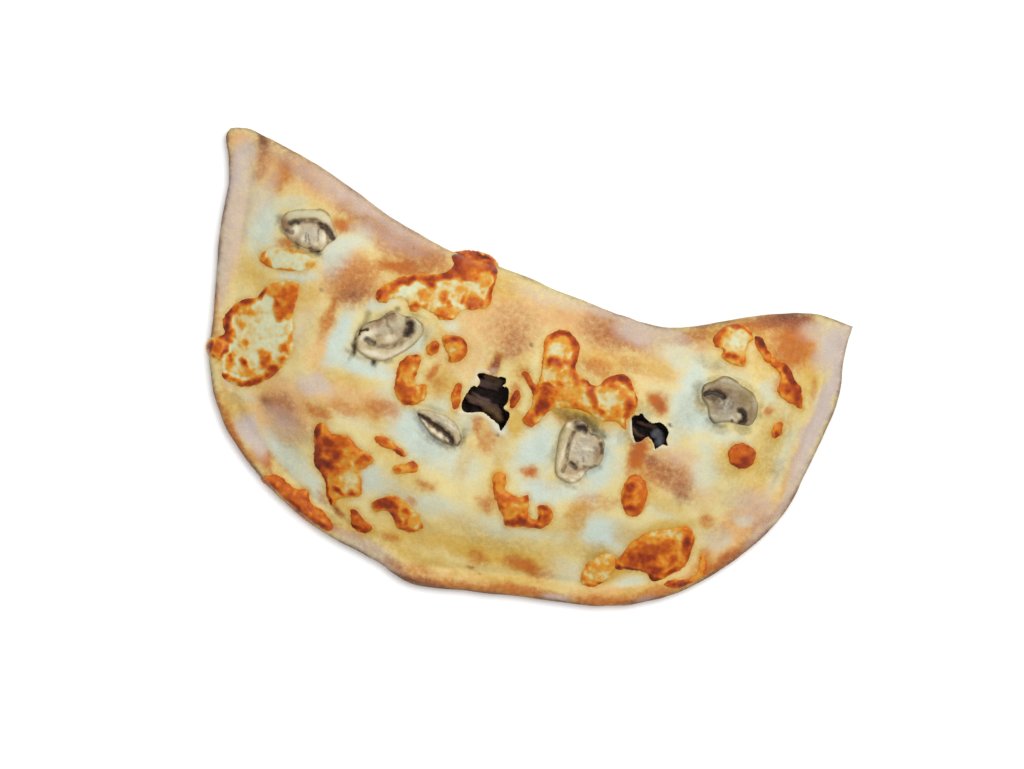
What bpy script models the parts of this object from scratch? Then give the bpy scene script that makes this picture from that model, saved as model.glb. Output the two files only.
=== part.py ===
"""A baked calzone about 322 mm long: a disc of pizza dough folded over its filling and sealed along a lip.

The crust is a hollow pillow of dough, lofted from the folded side (+Y) to the sealed lip (-Y). Two tears in
its roof open on the dark filling. Five mushroom slices and the puddles of browned cheese lie on the crust,
each a solid of its own that follows the roof. The plan is drawn in millimetres, from tip to tip along X.
"""

import math

import bmesh
import bpy
import numpy as np

MM = 0.001

# Driving dimensions, in millimetres
LIP_HEIGHT = 3.5          # height of the widest line of the sealed lip, half its thickness
FOLD_HEIGHT = 9.0         # the same at the folded side, where the dough bends round the filling
LIP_INNER = 9.0           # the roof starts to rise this far inside the lip's edge
RISE_END = 48.0           # ... and has risen this far inside it
FOLD_RISE_END = 40.0      # distance from the fold at which the roof has its full rise
RISE = 14.0               # how far the filling lifts the roof
TIP_REACH = (8.0, 60.0)   # distances from a tip between which the fold gets its full height
CREASE_INSET = 10.0       # the crease that a thumb pressed along the lip
CREASE_WIDTH = 2.6
CREASE_DEPTH = 1.3
ROOF = 3.5                # thickness of the dough over the filling
FLOOR = 3.5               # thickness of the dough under it
FILLING_FROM_FOLD = 7.0   # dough between the fold and the filling
FILLING_FROM_LIP = 20.0   # width of the sealed lip
FILLING_SPAN = (0.11, 0.89)   # stretch of the length that is filled
CLEARANCE = 0.3           # gap between pieces that lie on each other
CHEESE_THICKNESS = 2.2
CHEESE_EDGE = 0.9
MUSHROOM_THICKNESS = 3.4
MUSHROOM_EDGE = 1.6
SHOULDER = 1.1            # width of the rounded edge of a topping
TOPPING_GRID = 8.0        # spacing of the cuts that let a topping bend with the roof
SUNK = 3.0                # how far a topping's blank reaches into the roof before it is trimmed

# The two long lines of the plan, from the left tip to the right tip
FOLD_POINTS = [(-160.5, 91.3), (-156, 92.9), (-145, 92.8), (-110, 85.5), (-70, 72.3), (-35, 65.8), (-15, 66),
               (25, 62.7), (50, 61.2), (75, 63.2), (110, 80), (130, 88.2), (142, 90.4), (157.5, 89.8)]
LIP_POINTS = [(-160.5, 91.3), (-161.2, 86), (-154, 67), (-150.3, 40), (-141, 0), (-137, -20), (-120, -48),
              (-90, -70), (-60, -82.8), (-30, -88.8), (-19, -92.5), (-7, -94), (15, -90), (50, -83),
              (80, -77.4), (105, -66.7), (125, -50), (140, -31.5), (151, -12), (156, 8), (161.2, 50),
              (158.4, 72), (157.5, 89.8)]

# Swellings and hollows of the roof: x, y, half length, half width, height
LUMPS = [(-85, -5, 42, 38, 2.0), (-35, 54, 24, 10, 1.8), (95, 0, 40, 35, 1.6), (20, 22, 30, 20, 1.2),
         (-110, 54, 15, 12, -1.4), (-57, 16, 17, 15, -2.4), (-20, -18, 14, 9, -1.2), (48, -9, 14, 16, -2.4),
         (28, -16, 9, 14, -1.2), (110, 37, 17, 14, -2.0), (72, -42, 14, 10, -1.2), (-84, -50, 16, 9, -1.2)]

# Tears in the roof, with their ragged edges
TEARS = {
    "tear_large": [(-10, 12.5), (-7, 14), (3.5, 15.2), (3.3, 10.8), (7, 10.3), (8, 5), (7, 1), (9.8, 0),
                   (11, -2.5), (9.2, -9.8), (3, -5.8), (-2, -4.2), (-10.5, -6.5), (-13, -2), (-10.7, 6.2)],
    "tear_small": [(68, 15.5), (72, 18.5), (78, 15.5), (85, 15.8), (87, 10), (83.5, 4), (78, 8.5),
                   (73, 4.5)],
}

# Mushroom slices: the outline of each, and the line of its gills between the cap and the stem
MUSHROOMS = {
    "mushroom_west": ([(-123.5, 55), (-120, 62.5), (-107, 66.8), (-95.5, 56.5), (-101, 46.2), (-115, 47.5)],
                      [(-119, 55), (-112, 59.5), (-104, 59.8), (-97.5, 55)]),
    "mushroom_midwest": ([(-71.5, 13), (-70, 20), (-57, 31), (-46, 30), (-41.5, 25), (-50, 9.5), (-57, 4.5),
                          (-67, 5)], [(-66, 13), (-61, 12), (-53, 15), (-48, 21), (-47.5, 25.5)]),
    "mushroom_edge": ([(-32.5, -12.5), (-25, -10.8), (-15, -13), (-8, -20), (-10, -23.5), (-22, -21.5)],
                      [(-30, -14.8), (-22, -17), (-12, -21.5)]),
    "mushroom_middle": ([(37, 0), (40.5, 5.5), (47, 6), (51, 2), (58, 0.5), (60, -10), (53, -20),
                         (46, -24), (40, -21)], [(46, 3), (43.2, -2), (43.8, -14), (48, -16.5)]),
    "mushroom_east": ([(96.5, 40), (106, 48.5), (121, 44.5), (125.5, 36), (120, 26.5), (107, 24.3),
                       (102.5, 32), (97.5, 34.5)], [(99, 37), (107, 38.5), (115, 36.5), (120, 30)]),
}

# Puddles of cheese by their outlines
PUDDLES = {
    "cheese_west": [(-107.5, 29), (-104.8, 15), (-99.8, -4), (-104, -16), (-120, -27.5), (-130, -22.5),
                    (-138.3, -14.5), (-133.5, -7), (-135.5, 3), (-123, 16.5), (-117, 26)],
    "cheese_fold": [(-68.5, 36), (-60, 46), (-42, 54), (-38, 63), (-30, 68.5), (-19, 67.5), (-15, 54),
                    (-17, 43.5), (-29, 35), (-44, 35.5), (-50, 32.6), (-57, 37)],
    "cheese_hook": [(16, 39), (25, 45.8), (34, 38), (36, 28.5), (47, 24.5), (58.5, 34.2), (69, 21),
                    (64, 9.5), (44, 11.5), (29, 6.5), (21, -4.2), (18.5, 7), (10.5, 19), (19, 18.5)],
    "cheese_crescent": [(-31.5, 25), (-25, 27.7), (-18, 22), (-21, 16), (-26, 15.5), (-28, 21)],
    "cheese_drop": [(-47.5, 7), (-41.5, 13), (-38.3, 6), (-36.5, -1), (-31, -4), (-37, -12), (-46, -8)],
    "cheese_southwest": [(-77.5, -36), (-61, -34.5), (-46, -43), (-49.5, -50), (-47, -60.5), (-58.5, -69.3),
                         (-66, -58), (-74.5, -48)],
    "cheese_lip_west": [(-94, -65.5), (-86, -63.5), (-72, -65.8), (-67, -72.5), (-54.5, -80), (-66, -79.5),
                        (-82, -73)],
    "cheese_arch": [(-40.5, -62.5), (-31, -55.5), (-17, -61.5), (-14, -67), (-22, -70), (-32, -64)],
    "cheese_bowl": [(12, -33), (16, -29.2), (20, -36.5), (31, -36), (36, -46.8), (39, -39), (45.7, -42),
                    (41, -50), (25.5, -53.8), (16.5, -42.5)],
    "cheese_southeast": [(84.5, -55.5), (90, -40.5), (103, -32.3), (111, -30.5), (115, -38), (110.5, -50),
                         (101, -57)],
    "cheese_lip_east": [(121.8, -38), (125.3, -45), (118, -54), (107.5, -58), (117, -52), (121, -47)],
    "cheese_east": [(94.2, 64), (103.5, 74), (111.5, 70), (111, 57), (101.5, 55), (100, 60)],
    "cheese_trail": [(114.5, 70.5), (121, 67), (132, 62.3), (143, 53), (144.5, 44.5), (131.5, 48.5),
                     (129, 57.5), (119, 63)],
}

# Rounder drops of cheese: x, y, half length, half width, turn in degrees
DROPS = {
    "cheese_spot": (-34.4, 18.3, 4.2, 2.8, 80),
    "cheese_scrap": (-43, -72.6, 7.2, 3.0, -38),
    "cheese_strip": (-39.3, -33, 8.4, 2.0, -16),
    "cheese_curd": (-29.8, -41, 6.2, 2.8, 30),
    "cheese_drip": (80.4, -20.5, 9.9, 6.2, -78),
    "cheese_curl": (74.8, -60.5, 10.2, 6.0, 58),
    "cheese_button": (124.6, 13.3, 7.0, 5.9, 0),
    "cheese_bead": (137.4, 30.6, 4.6, 2.3, 82),
    "cheese_tray": (-115, 38.5, 13.8, 5.2, 10),
    "cheese_flake": (-16.4, -0.8, 7.0, 2.4, -82),
    "cheese_bean": (10.9, 6.2, 4.8, 2.1, 86),
}

RING_STATIONS = 44        # sections of the crust from tip to tip
TIP_CROWDING = 0.7        # how much closer they stand near the tips than in the middle
FILLING_STATIONS = 18


def open_curve(points, steps):
    """A smooth line through the points, read at the given number of steps a span."""
    p = np.array(points, float)
    p = np.vstack([2 * p[0] - p[1], p, 2 * p[-1] - p[-2]])
    return np.vstack([span_points(p[i - 1:i + 3], steps) for i in range(1, len(p) - 2)] + [p[-2:-1]])


def closed_curve(points, steps):
    """A smooth ring through the points."""
    p = np.array(points, float)
    n = len(p)
    return np.vstack([span_points(p[[(i - 1) % n, i, (i + 1) % n, (i + 2) % n]], steps) for i in range(n)])


def span_points(four, steps):
    """Points of a Catmull-Rom span between the second and the third of four points."""
    before, start, end, after = four
    t = np.linspace(0, 1, steps, endpoint=False)[:, None]
    slope_in = (end - before) / 2
    slope_out = (after - start) / 2
    bend = 3 * (end - start) - 2 * slope_in - slope_out
    turn = 2 * (start - end) + slope_in + slope_out
    return start + slope_in * t + bend * t ** 2 + turn * t ** 3


def ellipse(x, y, half_length, half_width, turn, count=12):
    """Points of an ellipse whose long side is turned by an angle in degrees."""
    a = np.linspace(0, 2 * math.pi, count, endpoint=False)
    c, s = math.cos(math.radians(turn)), math.sin(math.radians(turn))
    u, v = half_length * np.cos(a), half_width * np.sin(a)
    return np.column_stack([x + u * c - v * s, y + u * s + v * c])


def distance(line, xy):
    """Distance from each point to a line of short straight pieces."""
    start, step = line[:-1], np.diff(line, axis=0)
    to_point = xy[:, None, :] - start[None, :, :]
    along = np.clip((to_point * step).sum(2) / (step ** 2).sum(1), 0, 1)
    return np.sqrt(((to_point - along[..., None] * step) ** 2).sum(2)).min(1)


def inside(ring, xy):
    """Whether each point lies inside a closed ring."""
    x, y = xy[:, 0:1], xy[:, 1:2]
    x0, y0 = ring[:, 0], ring[:, 1]
    x1, y1 = np.roll(x0, -1), np.roll(y0, -1)
    with np.errstate(divide="ignore", invalid="ignore"):
        crossing = ((y0 > y) != (y1 > y)) & (x < (x1 - x0) * (y - y0) / (y1 - y0) + x0)
    return crossing.sum(1) % 2 == 1


def point_on(line, t):
    """The point at a share t of a line's length."""
    lengths = np.concatenate([[0], np.cumsum(np.linalg.norm(np.diff(line, axis=0), axis=1))])
    return np.array([np.interp(t * lengths[-1], lengths, line[:, k]) for k in (0, 1)])


def smoothstep(value, low, high):
    t = np.clip((value - low) / (high - low), 0, 1)
    return t * t * (3 - 2 * t)


def quarter_round(depth, radius):
    """Height, from 0 to 1, of a quarter circle at a depth inside its edge."""
    return np.sqrt(1 - (1 - np.clip(depth / radius, 0, 1)) ** 2)


FOLD_LINE = open_curve(FOLD_POINTS, 10)
LIP_LINE = open_curve(LIP_POINTS, 10)
OUTLINE = np.vstack([FOLD_LINE, LIP_LINE[-2:0:-1]])
TIPS = np.array([FOLD_LINE[0], FOLD_LINE[-1]])
PLAN_CENTRE = (OUTLINE.min(0) + OUTLINE.max(0)) / 2


def section(xy):
    """Distances to fold and lip, height of the widest line, and share of the full thickness, at each point."""
    within = inside(OUTLINE, xy)
    to_fold = np.where(within, distance(FOLD_LINE, xy), 0)
    to_lip = np.where(within, distance(LIP_LINE, xy), 0)
    to_tip = np.linalg.norm(xy[:, None, :] - TIPS[None], axis=2).min(1)
    fold_height = LIP_HEIGHT + (FOLD_HEIGHT - LIP_HEIGHT) * smoothstep(to_tip, *TIP_REACH)
    near_fold = distance(LIP_LINE, xy) / (distance(FOLD_LINE, xy) + distance(LIP_LINE, xy) + 1e-6)
    middle = LIP_HEIGHT + (fold_height - LIP_HEIGHT) * smoothstep(near_fold, 0, 1)
    share = quarter_round(to_fold, fold_height) * quarter_round(to_lip, LIP_HEIGHT)
    return to_fold, to_lip, middle, share


def roof_height(xy):
    """Height of the crust's upper side at each point of the plan."""
    to_fold, to_lip, middle, share = section(xy)
    height = middle * (1 + share)
    height += RISE * smoothstep(to_lip, LIP_INNER, RISE_END) * smoothstep(to_fold, 0, FOLD_RISE_END)
    crease = np.exp(-((to_lip - CREASE_INSET) / CREASE_WIDTH) ** 2) * smoothstep(to_fold, 10, 30)
    height -= CREASE_DEPTH * crease
    for x, y, long, wide, rise in LUMPS:
        height += rise * np.exp(-((xy[:, 0] - x) / long) ** 2 - ((xy[:, 1] - y) / wide) ** 2)
    return height


def floor_height(xy):
    """Height of the crust's underside: flat on the table, turned up at its edges."""
    middle, share = section(xy)[2:]
    return middle * (1 - share)


def rib_depths(length):
    """Where a section is cut: close together round both edges and over the crease, even between them."""
    angles = np.radians([0, 22.5, 45, 67.5, 90])
    fold_round = min(FOLD_HEIGHT, 0.3 * length) * (1 - np.cos(angles))
    lip_round = min(LIP_HEIGHT, 0.1 * length) * (1 - np.cos(angles))
    crease = min(1, 0.02 * length) * np.array([7.0, 10.0, 13.0])
    even = np.linspace(fold_round[-1], length - crease[-1], 8)[1:-1]
    under = np.linspace(fold_round[-1], length - lip_round[-1], 4)[1:-1]
    roof = np.concatenate([fold_round, even, length - crease[::-1], length - lip_round[::-1]])
    floor = np.concatenate([fold_round, under, length - lip_round[::-1]])
    return roof, floor[-2:0:-1]


def crust_ring(t):
    """The section of the crust at a share t of its length, over the roof and back under the floor."""
    start, end = point_on(FOLD_LINE, t), point_on(LIP_LINE, t)
    length = np.linalg.norm(end - start)
    over, under = rib_depths(length)
    along = np.concatenate([over, under])[:, None] / length
    plan = start + (end - start) * along
    heights = np.concatenate([roof_height(plan[:len(over)]), floor_height(plan[len(over):])])
    heights[0] = heights[len(over) - 1] = 0
    heights[[0, len(over) - 1]] = section(plan[[0, len(over) - 1]])[2]
    return np.column_stack([plan, heights])


def filling_ring(t):
    """The section of the space for the filling: the roof's form above, level below."""
    start, end = point_on(FOLD_LINE, t), point_on(LIP_LINE, t)
    length = np.linalg.norm(end - start)
    along = np.linspace(FILLING_FROM_FOLD / length, 1 - FILLING_FROM_LIP / length, 9)[:, None]
    plan = start + (end - start) * along
    over = np.column_stack([plan, roof_height(plan) - ROOF])
    under = np.column_stack([plan[::4], np.full(3, FLOOR)])
    return np.vstack([over, under[::-1]])


def loft(name, rings, poles=None):
    """A closed skin over sections of like count, ended by a pole at each tip or by flat ends."""
    bm = bmesh.new()
    rows = [[bm.verts.new(point * MM) for point in ring] for ring in rings]
    for row, following in zip(rows, rows[1:]):
        for i in range(len(row)):
            j = (i + 1) % len(row)
            bm.faces.new([row[i], row[j], following[j], following[i]])
    if poles is None:
        bm.faces.new(rows[0][::-1])
        bm.faces.new(rows[-1])
    else:
        for row, pole in zip((rows[0], rows[-1]), poles):
            tip = bm.verts.new(np.asarray(pole) * MM)
            for i in range(len(row)):
                bm.faces.new([row[i], tip, row[(i + 1) % len(row)]])
    bmesh.ops.recalc_face_normals(bm, faces=bm.faces)
    bmesh.ops.triangulate(bm, faces=bm.faces)
    mesh = bpy.data.meshes.new(name)
    bm.to_mesh(mesh)
    bm.free()
    return mesh


def add_object(name, mesh, collection, material=None, parent=None):
    """Put a mesh in the scene as a named object."""
    thing = bpy.data.objects.new(name, mesh)
    collection.objects.link(thing)
    thing.parent = parent
    if material:
        mesh.materials.append(material)
    return thing


def as_cutter(thing):
    """Mark an object as one that only cuts others."""
    thing.hide_render = True
    thing.display_type = "WIRE"
    return thing


def cut(thing, cutter):
    """Take the cutter's form away from a piece."""
    boolean = thing.modifiers.new("cut_" + cutter.name, "BOOLEAN")
    boolean.operation = "DIFFERENCE"
    boolean.object = cutter


def slab(name, outline, low, high):
    """A flat closed outline in millimetres, standing between two heights, as a welded mesh."""
    curve = bpy.data.curves.new(name, "CURVE")
    curve.dimensions = "2D"
    curve.fill_mode = "BOTH"
    curve.extrude = (high - low) / 2 * MM
    spline = curve.splines.new("POLY")
    spline.points.add(len(outline) - 1)
    for point, (x, y) in zip(spline.points, outline):
        point.co = (x * MM, y * MM, 0, 1)
    spline.use_cyclic_u = True
    bm = evaluated_bmesh(name, curve)
    bmesh.ops.translate(bm, verts=bm.verts, vec=(0, 0, (high + low) / 2 * MM))
    for side in (1, -1):
        cap = [face for face in bm.faces if face.normal.z * side > 0.9]
        bmesh.ops.dissolve_faces(bm, faces=cap)
    return bm


def evaluated_bmesh(name, curve):
    """The mesh of a curve, with its caps welded on, and the curve itself removed."""
    holder = bpy.data.objects.new(name + "_curve", curve)
    bpy.context.scene.collection.objects.link(holder)
    graph = bpy.context.evaluated_depsgraph_get()
    mesh = bpy.data.meshes.new_from_object(holder.evaluated_get(graph))
    bpy.data.objects.remove(holder)
    bm = bmesh.new()
    bm.from_mesh(mesh)
    bpy.data.meshes.remove(mesh)
    bmesh.ops.remove_doubles(bm, verts=bm.verts, dist=0.01 * MM)
    bmesh.ops.recalc_face_normals(bm, faces=bm.faces)
    return bm


def topping(name, outline, thickness, edge, clearance_body, collection, material, parent):
    """A flat piece that lies on the roof: an outline, rounded at its edge and bent to follow the crust."""
    low = roof_height(outline).min() - SUNK
    high = roof_height(outline).max() + thickness
    bm = slab(name, outline, low, high)
    top = [face for face in bm.faces if face.normal.z > 0.9]
    bmesh.ops.inset_region(bm, faces=top, thickness=SHOULDER * MM, use_even_offset=True)
    for axis in (0, 1):
        first, last = outline[:, axis].min(), outline[:, axis].max()
        count = int((last - first) / TOPPING_GRID)
        for place in np.linspace(first, last, count + 2)[1:-1]:
            inner = [face for face in bm.faces if face.normal.z > 0.9 and not touches_side(face)]
            geometry = set(inner)
            for face in inner:
                geometry.update(face.edges)
                geometry.update(face.verts)
            at = [0, 0, 0]
            at[axis] = place * MM
            normal = [0, 0, 0]
            normal[axis] = 1
            bmesh.ops.bisect_plane(bm, geom=list(geometry), plane_co=at, plane_no=normal, dist=0.05 * MM)
    upper = [vert for vert in bm.verts if vert.co.z > (low + 0.5) * MM]
    plan = np.array([vert.co[:2] for vert in upper]) / MM
    depth = distance(np.vstack([outline, outline[:1]]), plan)
    heights = roof_height(plan) + edge + (thickness - edge) * quarter_round(depth, 3 * SHOULDER)
    for vert, height in zip(upper, heights):
        vert.co.z = height * MM
    bmesh.ops.triangulate(bm, faces=bm.faces)
    mesh = bpy.data.meshes.new(name)
    bm.to_mesh(mesh)
    bm.free()
    piece = add_object(name, mesh, collection, material, parent)
    cut(piece, clearance_body)
    return piece


def touches_side(face):
    """Whether a cap's face borders one of the slab's upright sides."""
    return any(abs(other.normal.z) < 0.5 for edge in face.edges for other in edge.link_faces)


def gill_groove(name, path, collection, parent):
    """A bent rod that cuts the groove of the gills into a slice."""
    line = open_curve(path, 4)
    heights = roof_height(line) + MUSHROOM_THICKNESS + 0.4
    curve = bpy.data.curves.new(name, "CURVE")
    curve.dimensions = "3D"
    curve.bevel_depth = 1.5 * MM
    curve.bevel_resolution = 1
    curve.use_fill_caps = True
    spline = curve.splines.new("POLY")
    spline.points.add(len(line) - 1)
    for point, (x, y), z in zip(spline.points, line, heights):
        point.co = (x * MM, y * MM, z * MM, 1)
    bm = evaluated_bmesh(name, curve)
    mesh = bpy.data.meshes.new(name)
    bm.to_mesh(mesh)
    bm.free()
    return as_cutter(add_object(name, mesh, collection, parent=parent))


def hollow(name, outline, depth, collection, parent):
    """A round hollow under a tear, where the filling has sunk."""
    centre, half = (outline.min(0) + outline.max(0)) / 2, (outline.max(0) - outline.min(0)) / 2 + 7
    height = roof_height(centre[None])[0] - ROOF
    bm = bmesh.new()
    bmesh.ops.create_uvsphere(bm, u_segments=18, v_segments=9, radius=1)
    bmesh.ops.scale(bm, verts=bm.verts, vec=(half[0] * MM, half[1] * MM, depth * MM))
    bmesh.ops.translate(bm, verts=bm.verts, vec=(centre[0] * MM, centre[1] * MM, height * MM))
    mesh = bpy.data.meshes.new(name)
    bm.to_mesh(mesh)
    bm.free()
    return as_cutter(add_object(name, mesh, collection, parent=parent))


def paint(name, colour, roughness):
    """A plain material in a piece's own colour."""
    material = bpy.data.materials.new(name)
    material.use_nodes = True
    shader = material.node_tree.nodes["Principled BSDF"]
    shader.inputs["Base Color"].default_value = (*colour, 1)
    shader.inputs["Roughness"].default_value = roughness
    shader.inputs["Metallic"].default_value = 0.0
    return material


def make_collection(name):
    collection = bpy.data.collections.new(name)
    bpy.context.scene.collection.children.link(collection)
    return collection


def main():
    for thing in list(bpy.data.objects):
        bpy.data.objects.remove(thing)
    parts = make_collection("calzone")
    cutters = make_collection("cutters")
    frame = bpy.data.objects.new("calzone_frame", None)
    frame.location = (-PLAN_CENTRE[0] * MM, -PLAN_CENTRE[1] * MM, 0)
    parts.objects.link(frame)

    baked_dough = paint("baked_dough", (0.62, 0.40, 0.18), 0.6)
    dark_filling = paint("dark_filling", (0.05, 0.03, 0.02), 0.5)
    browned_cheese = paint("browned_cheese", (0.58, 0.20, 0.03), 0.35)
    mushroom = paint("mushroom", (0.50, 0.42, 0.30), 0.55)

    # Closer stations near the tips, where the sections change most
    even = np.linspace(0, 1, RING_STATIONS + 2)[1:-1]
    stations = TIP_CROWDING * (0.5 - 0.5 * np.cos(np.pi * even)) + (1 - TIP_CROWDING) * even
    rings = [crust_ring(t) for t in stations]
    poles = [(*tip, LIP_HEIGHT) for tip in TIPS]
    crust = add_object("crust", loft("crust", rings, poles), parts, baked_dough, frame)

    clearance_body = as_cutter(add_object("clearance_body", loft("clearance_body", rings, poles), cutters,
                                          parent=frame))
    grow = clearance_body.modifiers.new("grow", "DISPLACE")
    grow.strength = CLEARANCE * MM
    grow.mid_level = 0

    filling_rings = [filling_ring(t) for t in np.linspace(*FILLING_SPAN, FILLING_STATIONS)]
    cavity = as_cutter(add_object("cavity", loft("cavity", filling_rings), cutters, parent=frame))
    cut(crust, cavity)
    filling = add_object("filling", loft("filling", filling_rings), parts, dark_filling, frame)
    shrink = filling.modifiers.new("shrink", "DISPLACE")
    shrink.strength = -1.4 * CLEARANCE * MM
    shrink.mid_level = 0

    for name, points in TEARS.items():
        outline = np.array(points, float)
        bm = slab(name, outline, FLOOR + 4, 45)
        mesh = bpy.data.meshes.new(name)
        bm.to_mesh(mesh)
        bm.free()
        cut(crust, as_cutter(add_object(name, mesh, cutters, parent=frame)))
        cut(filling, hollow("hollow_" + name, outline, 8.0, cutters, frame))

    for name, (points, gills) in MUSHROOMS.items():
        piece = topping(name, closed_curve(points, 3), MUSHROOM_THICKNESS, MUSHROOM_EDGE, clearance_body,
                        parts, mushroom, frame)
        cut(piece, gill_groove("gills_" + name, gills, cutters, frame))
    for name, points in PUDDLES.items():
        topping(name, closed_curve(points, 2), CHEESE_THICKNESS, CHEESE_EDGE, clearance_body, parts,
                browned_cheese, frame)
    for name, shape in DROPS.items():
        topping(name, ellipse(*shape), CHEESE_THICKNESS, CHEESE_EDGE, clearance_body, parts,
                browned_cheese, frame)


main()
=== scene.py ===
"""A baked calzone: folded dough with a torn roof, mushroom slices and puddles of browned cheese.

The plan is drawn in millimetres from tip to tip along X, with the folded side towards +Y. Each operator
makes one piece or one group of like pieces; the panel in the 3D view's sidebar lists them.
"""

import math

import bpy
import numpy as np
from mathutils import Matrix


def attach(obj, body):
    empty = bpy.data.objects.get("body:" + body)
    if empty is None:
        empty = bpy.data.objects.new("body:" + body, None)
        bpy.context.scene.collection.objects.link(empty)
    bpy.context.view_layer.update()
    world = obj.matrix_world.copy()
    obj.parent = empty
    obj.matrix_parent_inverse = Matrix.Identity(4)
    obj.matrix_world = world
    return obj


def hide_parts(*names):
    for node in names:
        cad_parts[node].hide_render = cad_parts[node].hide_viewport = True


bl_info = {
    "name": "Calzone",
    "version": (1, 0, 0),
    "blender": (4, 5, 0),
    "location": "View3D > Sidebar > Calzone",
    "description": "Models a baked calzone with its torn roof, mushrooms and browned cheese",
    "category": "Add Mesh",
}

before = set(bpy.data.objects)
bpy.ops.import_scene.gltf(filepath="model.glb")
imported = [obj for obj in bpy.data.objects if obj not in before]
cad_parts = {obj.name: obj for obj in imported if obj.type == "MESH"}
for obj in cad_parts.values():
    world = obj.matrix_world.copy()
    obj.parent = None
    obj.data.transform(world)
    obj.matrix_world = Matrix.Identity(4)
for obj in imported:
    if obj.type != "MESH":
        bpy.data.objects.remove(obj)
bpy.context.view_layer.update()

MM = 0.001
STAGE_LIGHT = 1.3
LAMP_PLACE = (0.35, 0.75, 1.5)
LAMP_SIZE = 1.3

# The two long lines of the plan, from the left tip to the right tip, in millimetres
FOLD_POINTS = [(-160.5, 91.3), (-156, 92.9), (-145, 92.8), (-110, 85.5), (-70, 72.3), (-35, 65.8), (-15, 66),
               (25, 62.7), (50, 61.2), (75, 63.2), (110, 80), (130, 88.2), (142, 90.4), (157.5, 89.8)]
LIP_POINTS = [(-160.5, 91.3), (-161.2, 86), (-154, 67), (-150.3, 40), (-141, 0), (-137, -20), (-120, -48),
              (-90, -70), (-60, -82.8), (-30, -88.8), (-19, -92.5), (-7, -94), (15, -90), (50, -83),
              (80, -77.4), (105, -66.7), (125, -50), (140, -31.5), (151, -12), (156, 8), (161.2, 50),
              (158.4, 72), (157.5, 89.8)]

# Swellings and hollows of the roof: x, y, half length, half width, height
LUMPS = [(-85, -5, 42, 38, 2.0), (-35, 54, 24, 10, 1.8), (95, 0, 40, 35, 1.6), (20, 22, 30, 20, 1.2),
         (-110, 54, 15, 12, -1.4), (-57, 16, 17, 15, -2.4), (-20, -18, 14, 9, -1.2), (48, -9, 14, 16, -2.4),
         (28, -16, 9, 14, -1.2), (110, 37, 17, 14, -2.0), (72, -42, 14, 10, -1.2), (-84, -50, 16, 9, -1.2)]

# Tears in the roof, with their ragged edges
TEARS = {
    "tear_large": [(-10, 12.5), (-8, 14), (-4, 14.2), (0, 14.6), (3.5, 15.2), (4.3, 12.5), (3.3, 10.8),
                   (6.5, 10.6), (8, 5), (7, 1), (9.8, 0), (11, -2.5), (9.2, -9.8), (7, -7.5), (3, -5.8),
                   (-2, -4.2), (-10.5, -6.5), (-13, -2), (-10.7, 6.2), (-8, 7), (-7.7, 10)],
    "tear_small": [(68, 15.5), (70.5, 17), (72, 18.5), (74, 17), (78, 15.5), (81.5, 17), (85, 15.8),
                   (87.3, 13.5), (87, 10), (88.5, 7.3), (86, 7), (83.5, 4), (81.5, 6.5), (78, 8.5),
                   (75.5, 5.5), (73, 4.5), (70.5, 8)],
}

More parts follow.
